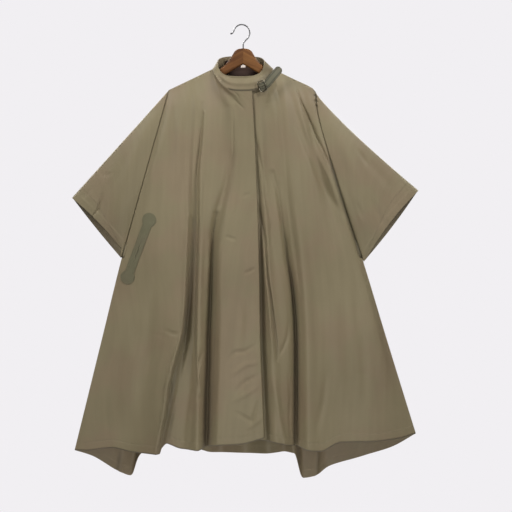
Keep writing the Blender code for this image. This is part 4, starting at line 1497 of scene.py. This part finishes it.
@dataclass
class Patch:
    """Hand-slit patch with round ends, laid on the right front round a narrow slit."""

    panel: Panel
    upper: tuple = (-252, -526)
    lower: tuple = (-311, -680)
    lobe: float = 19
    half_width: float = 12.5
    end_gap: float = 0.4
    wall: float = 0.8
    lift: float = 0.9
    rows: int = 110
    columns: int = 41
    folds: tuple = (0.0, 2.0)
    levels: tuple = (2.0, 3.7)
    slit_upper: tuple = (-270, -573)
    slit_lower: tuple = (-297, -645)
    slit_half: float = 1.5
    slit_depth: float = 1.9
    # The dark lens of painted shadow in the slit: its direction across, sinking, taper and grid.
    slit_across: tuple = (0.93, 0.36)
    slit_sink: float = 0.35
    slit_taper: float = 0.6
    slit_rows: int = 60
    slit_columns: int = 5
    lip_half: float = 5.5
    lip_height: float = 1.3
    stitch_insets: tuple = (1.8, 6.0)
    rim_points: int = 200

    def length(self) -> float:
        """Whole length over both lobes."""
        return math.dist(self.upper, self.lower) + 2 * self.lobe

    def half(self, to_end: Array) -> Array:
        """Half width at this distance from the nearer end: a round lobe, then the straight middle."""
        round_end = np.sqrt(np.maximum(self.lobe ** 2 - (to_end - self.lobe) ** 2, 0))
        return np.where(to_end < self.lobe, round_end, np.maximum(round_end, self.half_width))

    def stations(self, count: int) -> Array:
        """Distances along the patch, closest together at both ends."""
        middle = self.length() / 2
        return middle - (middle - self.end_gap) * np.cos(np.linspace(0, np.pi, count))

    def place(self, station: Array, spread: Array, inset: float = 0.0) -> Array:
        """Front-view places at distances along the patch and shares of its half width."""
        upper = np.array(self.upper, dtype=float)
        along = unit(np.array(self.lower, dtype=float) - upper)
        across = np.array([-along[1], along[0]])
        wide = self.half(np.minimum(station, self.length() - station)) - inset
        start = upper - along * (self.lobe - inset)
        run = station / self.length() * (self.length() - 2 * inset)
        return start + along * run[..., None] + across * (wide * spread)[..., None]

    def raise_from_front(self, flat: Array, lift: Array) -> tuple[Array, Array]:
        """Points of the front at these front-view places, moved out of it, and the way out."""
        points, out = self.panel.locate(flat[..., 0], flat[..., 1], self.folds, self.levels)
        return points + out * (self.panel.wall / 2 + self.lift + lift)[..., None], out

    def grid(self) -> Array:
        """Points along the patch and across it, with the slit's groove between two soft lips."""
        slit = Crease((self.slit_upper, self.slit_lower), self.slit_half, -self.slit_depth)
        lips = Crease((self.slit_upper, self.slit_lower), self.lip_half, self.lip_height)
        flat = self.place(*np.meshgrid(self.stations(self.rows), shares_across(self.columns), indexing="ij"))
        return self.raise_from_front(flat, crease_relief(flat[..., 0], flat[..., 1], (slit, lips)))[0]

    def rim(self, inset: float) -> tuple[Array, Array]:
        """Line inside the patch's edge for its stitches."""
        station = self.stations(self.rim_points)
        sides = np.ones_like(station)
        flat = np.concatenate([self.place(station, sides, inset), self.place(station[::-1], -sides, inset)])
        return self.raise_from_front(flat, np.full(len(flat), self.wall / 2))

    def slit(self) -> Array:
        """Lens of shadow at the bottom of the slit."""
        share = np.linspace(0, 1, self.slit_rows)[:, None]
        middle = np.array(self.slit_upper) * (1 - share) + np.array(self.slit_lower) * share
        wide = self.slit_half * np.sin(np.pi * (0.03 + 0.94 * share)) ** self.slit_taper
        across = np.linspace(-1, 1, self.slit_columns)[None, :, None] * wide[:, None]
        flat = middle[:, None] + across * np.array(self.slit_across)
        return self.raise_from_front(flat, np.full(flat.shape[:2], self.wall / 2 - self.slit_sink))[0]

    def build(self, cloth: ClothFinish, shadow: ClothFinish, thread: bpy.types.Material) -> None:
        """Make the patch, the dark lens of painted shadow in its slit, and two rows of stitches."""
        grid = self.grid()
        made = cloth_piece("patch_cloth", grid, self.wall)
        dress(made, cloth.make(), "patch_cloth", "hand_slit_patch")
        declare_sheet(grid)
        # A dark lens of painted shadow at the bottom of the slit.
        slit = self.slit()
        made = mesh_object("slit_shade", slit, grid_quads(*slit.shape[:2]))
        dress(made, shadow.make(), "patch_cloth")
        rows = [stitch_row(*self.rim(inset), FINE_STITCH) for inset in self.stitch_insets]
        dress(stitch_piece("patch_stitches", rows), thread, "patch_cloth")


@dataclass
class Strap:
    """Collar strap with a rounded free tip, held by a small pronged buckle."""

    route: tuple = (
        (30, -57, -175), (45, -56.4, -173), (60, -55.2, -167), (80, -49.3, -144), (100, -40, -120))
    start: float = 0.95
    facing: tuple = (0.25, -1, 0.05)
    half_width: float = 10.5
    wall: float = 1.9
    rows: int = 90
    columns: int = 45
    crown: float = 0.5
    dent: float = 0.25
    dent_at: float = 0.74
    dent_width: float = 0.07
    # A darker line along each sewn line, and painted shade at both edges.
    line_dark: float = 0.8
    line_at: float = 0.6
    line_width: float = 0.14
    edge_painted_shade: float = 0.9
    edge_from: float = 0.9
    tip_rows: int = 6
    tip_step: int = 8
    tip_gap: float = 0.3
    least_half: float = 0.1
    stitch_inset: float = 2.2
    buckle_at: float = 0.16
    buckle_length: float = 19
    buckle_width: float = 28
    buckle_wire: float = 2.6
    buckle_squareness: float = 0.35
    buckle_points: int = 72
    prong_wire: float = 2.0
    prong_gap: float = 0.2
    prong_points: int = 30
    lift: float = 0.5

    def frame(self) -> tuple[Array, Array, Array, Array]:
        """Middle line with its lengthwise, sideways and outward directions."""
        line = read_smoothly(self.route, np.linspace(self.start, len(self.route) - 1, self.rows))
        ahead = unit(np.gradient(line, axis=0))
        side = unit(np.cross(ahead, np.array(self.facing)))
        return line, ahead, side, np.cross(side, ahead)

    def grid(self, inset: float = 0.0) -> Array:
        """Strip round the middle line whose last part narrows to a half circle."""
        line, _, side, out = self.frame()
        run = run_length(line, 0)
        to_tip = np.clip(run[-1] - run + self.tip_gap, 0, self.half_width)
        half = np.sqrt(self.half_width ** 2 - (self.half_width - to_tip) ** 2)
        spread = shares_across(self.columns)
        dent = self.dent * bell(np.abs(spread) - self.dent_at, self.dent_width)
        rise = self.crown * (1 - spread ** 4) - dent
        reach = (half - inset).clip(self.least_half)[:, None] * spread
        return line[:, None] + side[:, None] * reach[..., None] + out[:, None] * rise[None, :, None]

    def seam(self) -> Array:
        """Darkness of the grid's points, from 0 to 1: a darker line along both sewn lines, and painted shade
        at both edges.
        """
        spread = np.abs(shares_across(self.columns))
        line = self.line_dark * bell(spread - self.line_at, self.line_width)
        # Darker along both sewn lines, with painted shade at both edges.
        return np.tile(line + self.edge_painted_shade * (spread > self.edge_from), (self.rows, 1))

    def edge(self, inset: float) -> tuple[Array, Array]:
        """Line inside both edges and round the tip, on the outer face."""
        grid = self.grid(inset)
        out = self.frame()[-1]
        stop = self.rows - self.tip_rows
        tip = grid[stop, ::self.tip_step]
        line = np.concatenate([grid[:stop, 0], tip, grid[:stop, -1][::-1]])
        away = np.concatenate([out[:stop], np.repeat(out[stop:stop + 1], len(tip), axis=0), out[:stop][::-1]])
        return line + away * (self.wall / 2), away

    def build(self, cloth: ClothFinish, thread: bpy.types.Material, metal: MetalFinish) -> None:
        """Make the strap, its stitches and the buckle."""
        grid = self.grid()
        made = cloth_piece("strap_cloth", grid, self.wall, self.seam())
        dress(made, cloth.make(), "strap_cloth", "collar_strap")
        declare_sheet(grid)
        row = stitch_row(*self.edge(self.stitch_inset), FINE_STITCH)
        dress(stitch_piece("strap_stitches", [row]), thread, "strap_cloth")
        self.build_buckle(metal.make())

    def build_buckle(self, steel: bpy.types.Material) -> None:
        """Make the frame, a squared ellipse of wire round the strap, and the prong across it."""
        at = int(self.buckle_at * (self.rows - 1))
        line, ahead, side, out = (part[at] for part in self.frame())
        centre = line + out * (self.wall / 2 + self.lift + self.buckle_wire / 2)
        turn = full_turn(self.buckle_points)[:, None]
        loop = (centre + ahead * (self.buckle_length / 2) * signed_power(np.cos(turn), self.buckle_squareness)
                + side * (self.buckle_width / 2) * signed_power(np.sin(turn), self.buckle_squareness))
        radius = np.full(self.buckle_points, self.buckle_wire / 2)
        dress(sweep("buckle_loop", loop, radius, out, closed=True), steel, "buckle_metal", "buckle_frame")
        reach = (self.buckle_length + self.buckle_wire) / 2
        over = (self.buckle_wire + self.prong_wire) / 2 + self.prong_gap
        rod = centre + ahead * (reach * np.linspace(-1, 1, self.prong_points)[:, None]) + out * over
        radius = np.full(self.prong_points, self.prong_wire / 2)
        dress(sweep("buckle_pin", rod, radius, side), steel, "buckle_metal", "buckle_prong")


class Section(NamedTuple):
    """Cross-section of the hanger: place across, top, bottom and half thickness, in millimetres."""

    x: float
    top: float
    bottom: float
    half: float


class ArmSection(NamedTuple):
    """Cross-section of an arm: place across, gap under the shoulder, height and half thickness."""

    x: float
    below: float
    tall: float
    half: float


@dataclass
class Hanger:
    """Wooden hanger in two halves, with its wire hook."""

    middle: tuple = (
        Section(0.01, -62.4, -106, 8), Section(12, -64, -112, 8), Section(22, -69.5, -118, 7.8),
        Section(29, -80, -122, 7.4), Section(37, -93, -127, 7), Section(50, -107.5, -135, 6.6),
        Section(66, -120, -144, 6.2), Section(82, -127.5, -152, 6),
    )
    arm: tuple = (
        ArmSection(100, 1.9, 25, 6), ArmSection(143, 1.9, 24, 6), ArmSection(165, 1.9, 22, 5.6),
        ArmSection(178, 3.0, 17, 4.8), ArmSection(188, 5.0, 8, 3.0),
    )
    bevel: float = 0.55
    rings: int = 160
    ring_points: int = 48
    end_ring: float = 0.02
    first_ring: float = 0.05
    bend_points: int = 60
    loop_points: int = 90
    tip_points: int = 24
    hook_wire: float = 3.6
    hook_radius: float = 21.7
    hook_centre: tuple = (-4, -19.9)
    hook_foot: float = -62.4
    hook_from: float = -22
    hook_to: float = 168
    hook_bend: tuple = ((0, -51), (4.5, -43), (13, -34))
    hook_tip: tuple = (-34.5, -23.5)
    tip_bow: tuple = (1.2, -1.2)
    tip_knob: float = 2.3
    knob_place: float = 2
    knob_length: float = 2
    woods: tuple = (
        WoodFinish("varnished wood, right half", (0.170, 0.070, 0.021), (0.085, 0.031, 0.009), -0.45),
        WoodFinish("varnished wood, left half", (0.225, 0.100, 0.031), (0.120, 0.046, 0.013), 0.45),
    )
    wire: MetalFinish = MetalFinish("drawn steel wire", (0.30, 0.30, 0.31), (0.17, 0.17, 0.18), 0.22)

    def half(self, name: str, side: int) -> bpy.types.Object:
        """One half: rounded rectangles through the sections, closed at both ends."""
        cuts = list(self.middle)
        for section in self.arm:
            top = shoulder_height(side * section.x) - section.below
            cuts.append(Section(section.x, top, top - section.tall, section.half))
        last = len(cuts) - 1
        inner = np.linspace(self.first_ring, last - self.first_ring, self.rings)
        places = np.concatenate([[0, self.end_ring], inner, [last - self.end_ring, last]])
        table = read_smoothly(cuts, places)
        turn = full_turn(self.ring_points)[None]
        x, top, bottom, half = (table[:, k:k + 1] for k in range(4))
        y = half * signed_power(np.cos(turn), self.bevel)
        z = (top + bottom) / 2 + (top - bottom) / 2 * signed_power(np.sin(turn), self.bevel)
        rings = np.stack([side * x + 0 * y, y, z], axis=-1)
        ends = [np.broadcast_to(rings[k].mean(axis=0), rings[k].shape)[None] for k in (0, -1)]
        rings = np.concatenate([ends[0], rings, ends[1]])
        return weld(mesh_object(name, rings, grid_quads(len(rings), self.ring_points, False, True)))

    def hook_route(self) -> Array:
        """Middle line of the wire: straight stem, bend, most of a circle and a flared tip."""
        turn = np.radians(np.linspace(self.hook_from, self.hook_to, self.loop_points))
        circle = np.stack([np.cos(turn), np.sin(turn)], axis=-1)
        loop = np.array(self.hook_centre) + self.hook_radius * circle
        bend = np.array([(0, self.hook_foot), *self.hook_bend, tuple(loop[0])])
        bend = read_smoothly(bend, np.linspace(0, len(bend) - 1, self.bend_points))[:-1]
        tip_middle = (loop[-1] + np.array(self.hook_tip)) / 2 + np.array(self.tip_bow)
        tip = np.array([loop[-1], tip_middle, self.hook_tip])
        tip = read_smoothly(tip, np.linspace(0, len(tip) - 1, self.tip_points))[1:]
        flat = np.concatenate([bend, loop, tip])
        return np.stack([flat[:, 0], np.zeros(len(flat)), flat[:, 1]], axis=-1)

    def build(self) -> None:
        """Make both halves and the hook."""
        for word, side, wood in zip(("right", "left"), (-1, 1), self.woods):
            dress(self.half("wood_" + word, side), wood.make(), "hanger_wood", "hanger_" + word)
        route = self.hook_route()
        run = run_length(route, 0)
        knob = (self.tip_knob - self.hook_wire / 2) * bell(run[-1] - self.knob_place - run, self.knob_length)
        made = sweep("hook_wire", route, self.hook_wire / 2 + knob, np.array([0.0, 1.0, 0.0]))
        dress(made, self.wire.make(), "hook_steel", "hanger_hook")


class Lamp(NamedTuple):
    """A square soft lamp in metres, watts and degrees, that faces the cape's middle at a height."""

    name: str
    place: tuple
    height: float
    size: float
    power: float
    spread: float


LAMPS = (
    Lamp("left lamp", (-1.35, -1.2, 1.0), -0.45, 0.7, 6.3, 75),
    Lamp("right lamp", (1.35, -1.2, 1.0), -0.45, 0.7, 6.6, 75),
    Lamp("front lamp", (0.1, -2.6, -1.0), -0.45, 0.7, 15.4, 180),
    Lamp("hem lamp", (0.1, -1.7, -1.28), -1.2, 0.5, 0.65, 70),
    Lamp("back left lamp", (-1.4, 1.7, 0.8), -0.5, 0.8, 8, 75),
    Lamp("back right lamp", (1.4, 1.7, 0.8), -0.5, 0.8, 7, 75),
    Lamp("back lamp", (0.0, 2.6, -0.9), -0.5, 0.8, 12, 180),
)


@dataclass
class Studio:
    """Pale floor and surroundings, soft lamps and a level camera in front of the cape."""

    camera_x: float = 0.0386
    camera_z: float = -0.6229
    middle: float = 0.03
    daylight: tuple = (1.0, 0.985, 0.955)
    distance: float = 4.0
    frame_width: float = 1.3824
    sensor: float = 36.0
    floor: float = -1.42
    floor_radius: float = 0.55
    floor_middle: float = 0.001
    floor_rings: int = 8
    floor_points: int = 97
    paper: PaperFinish = PaperFinish("floor paper", (0.8, 0.78, 0.8))
    seen: tuple = (0.880, 0.863, 0.888)
    ambient: tuple = (0.93, 0.93, 0.96)
    ambient_strength: float = 0.12

    def build_floor(self) -> None:
        """Round floor under the cape: circles of growing radius round the middle."""
        radius = np.linspace(self.floor_middle, self.floor_radius, self.floor_rings)[:, None]
        turn = np.linspace(0, 2 * np.pi, self.floor_points)[None]
        x = self.middle + radius * np.cos(turn)
        points = np.stack([x, radius * np.sin(turn), np.full(x.shape, self.floor)], axis=-1)
        made = mesh_object("studio_floor", points / MM - (STEM_OFFSET, 0, 0), grid_quads(*x.shape))
        made.data.materials.append(self.paper.make())

    def build_lamp(self, lamp: Lamp) -> None:
        """Place a lamp and turn its beam to the cape's middle."""
        light = bpy.data.lights.new(lamp.name, "AREA")
        light.size = lamp.size
        light.energy = lamp.power
        light.spread = math.radians(lamp.spread)
        light.color = self.daylight
        made = bpy.data.objects.new(lamp.name, light)
        made.location = lamp.place
        x, y, z = np.array((self.middle, 0, lamp.height)) - np.array(lamp.place)
        made.rotation_euler = (math.atan2(math.hypot(x, y), -z), 0, math.atan2(-x, y))
        bpy.context.scene.collection.objects.link(made)

    def build_camera(self) -> None:
        """Level camera whose lens frames the photograph's width at the hanger's plane."""
        data = bpy.data.cameras.new("camera")
        data.sensor_width = self.sensor
        data.lens = self.sensor * self.distance / self.frame_width
        made = bpy.data.objects.new("camera", data)
        made.location = (self.camera_x, -self.distance, self.camera_z)
        made.rotation_euler = (math.pi / 2, 0, 0)
        bpy.context.scene.collection.objects.link(made)
        bpy.context.scene.camera = made

    def build(self) -> None:
        """Set up the whole studio."""
        self.build_camera()
        self.build_floor()
        for lamp in LAMPS:
            self.build_lamp(lamp)
        bpy.context.scene.world = Surroundings(self.seen, self.ambient, self.ambient_strength).world
        bpy.context.scene.view_settings.view_transform = "Standard"


@dataclass
class Cape:
    """The sewn garment."""

    neck: Neck = field(default_factory=Neck)
    cloth: ClothFinish = ClothFinish("olive waterproof cotton", (0.230, 0.194, 0.115), (0.178, 0.147, 0.084))
    thread: ClothFinish = ClothFinish("olive thread", (0.17, 0.145, 0.09), (0.12, 0.10, 0.06), 0.5)
    patch: ClothFinish = ClothFinish("patch cotton", (0.150, 0.142, 0.084), (0.116, 0.109, 0.062))
    strap: ClothFinish = ClothFinish("strap cotton", (0.136, 0.131, 0.083), (0.094, 0.090, 0.055))
    # Colour of the painted shadow in the patch's slit.
    shadow: ClothFinish = ClothFinish("painted slit shadow", (0.03, 0.027, 0.014), (0.02, 0.018, 0.010), 0.8, 0.0)
    label: ClothFinish = ClothFinish("brown label weave", (0.036, 0.016, 0.009), (0.024, 0.010, 0.006), 0.6)
    tab: ClothFinish = ClothFinish("pale tab weave", (0.76, 0.72, 0.65), (0.66, 0.62, 0.55), 0.7)
    buckle: MetalFinish = MetalFinish("darkened brass", (0.34, 0.31, 0.24), (0.08, 0.07, 0.05), 0.14)
    sewn_on: tuple = ("front_right_cloth", "front_left_cloth", "back_cloth")
    cuff_stitches_at: float = 0.9

    def panels(self) -> tuple[Panel, Panel, Panel]:
        """Right front, left front and back."""
        right = Panel("front_right", FRONT_RIGHT, Facing.FRONT, FRONT_RIGHT_CREASES, self.neck, 14, 0.4,
                      overlapping=True, hem_rises=(HemRise(-217, 6, 52, 13), HemRise(-352, 75, 60, 9)))
        left = Panel("front_left", FRONT_LEFT, Facing.FRONT, FRONT_LEFT_CREASES, self.neck, 12, 1.7,
                     fold_width=5, pucker=4)
        back = Panel("back", BACK, Facing.BACK, BACK_CREASES, self.neck, 8, 2.9)
        return right, left, back

    def sleeves(self, right: Panel, left: Panel, back: Panel) -> tuple[Sleeve, Sleeve]:
        """Right and left sleeve, each sewn to its front and to the back."""
        last_front = len(FRONT_LEFT) - 1.0
        last_back = len(BACK) - 1.0
        return (
            Sleeve("sleeve_right", right, back, 0.0, 0.0, (-462, -466), (-331, -627), SLEEVE_RIGHT_CREASES,
                   front_rise=22),
            Sleeve("sleeve_left", left, back, last_front, last_back, (473, -446), (326, -638),
                   SLEEVE_LEFT_CREASES, front_bow=11, top_dip=14, cuff_back_sag=7),
        )

    def build(self) -> None:
        """Make and dress every piece of cloth."""
        cloth = self.cloth.make()
        thread = self.thread.make()
        panels = self.panels()
        # Each cloth piece carries its painted shade in the seam attribute.
        for panel in panels:
            places = panel.column_places(), panel.level_places()
            grid = panel.surface(*places)
            made = cloth_piece(panel.name + "_cloth", grid, panel.wall, panel.seam(*places))
            dress(made, cloth, "cape_cloth", panel.name)
            declare_sheet(grid)
        sleeves = self.sleeves(*panels)
        for sleeve in sleeves:
            grid = sleeve.grid()
            made = cloth_piece(sleeve.name + "_cloth", grid, sleeve.wall, sleeve.seam(grid), closed=True)
            dress(made, cloth, "cape_cloth", sleeve.name)
            declare_sheet(grid, flat=sleeve.cut(), closed=True)
        collar = Collar(self.neck)
        grid = collar.grid()
        made = cloth_piece("collar_cloth", grid, collar.wall, collar.seam(grid))
        dress(made, cloth, "cape_cloth", "collar")
        declare_sheet(grid)
        self.build_labels(collar)
        Patch(panels[0]).build(self.patch, self.shadow, thread)
        Strap().build(self.strap, thread, self.buckle)
        rows = [stitch_row(*panel.hem_line(panel.hem_turn), HEM_STITCH) for panel in panels]
        dress(stitch_piece("hem_stitches", rows), thread, "cape_cloth")
        lines = [line for sleeve in sleeves for line in sleeve.cuff_lines(self.cuff_stitches_at)]
        rows = [stitch_row(*line, HEM_STITCH) for line in lines]
        dress(stitch_piece("cuff_stitches", rows), thread, "cape_cloth")

    def build_labels(self, collar: Collar) -> None:
        """Bare label and size tab inside the back of the collar."""
        for name, node, finish, angles, heights, inward in (
                ("label_cloth", "neck_label", self.label, collar.label_angles, collar.label_heights,
                 collar.label_inward),
                ("tab_cloth", "size_tab", self.tab, collar.tab_angles, collar.tab_heights,
                 collar.tab_inward)):
            places = np.linspace(*angles, collar.label_columns), np.linspace(*heights, collar.label_rows)
            grid = collar.surface(*places, -inward)
            made = cloth_piece(name, grid, collar.label_wall)
            dress(made, finish.make(), name, node)
            declare_sheet(grid)


def main() -> None:
    """Load the frame, then build the studio, the hanger and the cape."""
    logging.basicConfig(level=logging.INFO, format="%(name)s %(message)s")
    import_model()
    Studio().build()
    Hanger().build()
    Cape().build()


if __name__ == "__main__":
    main()
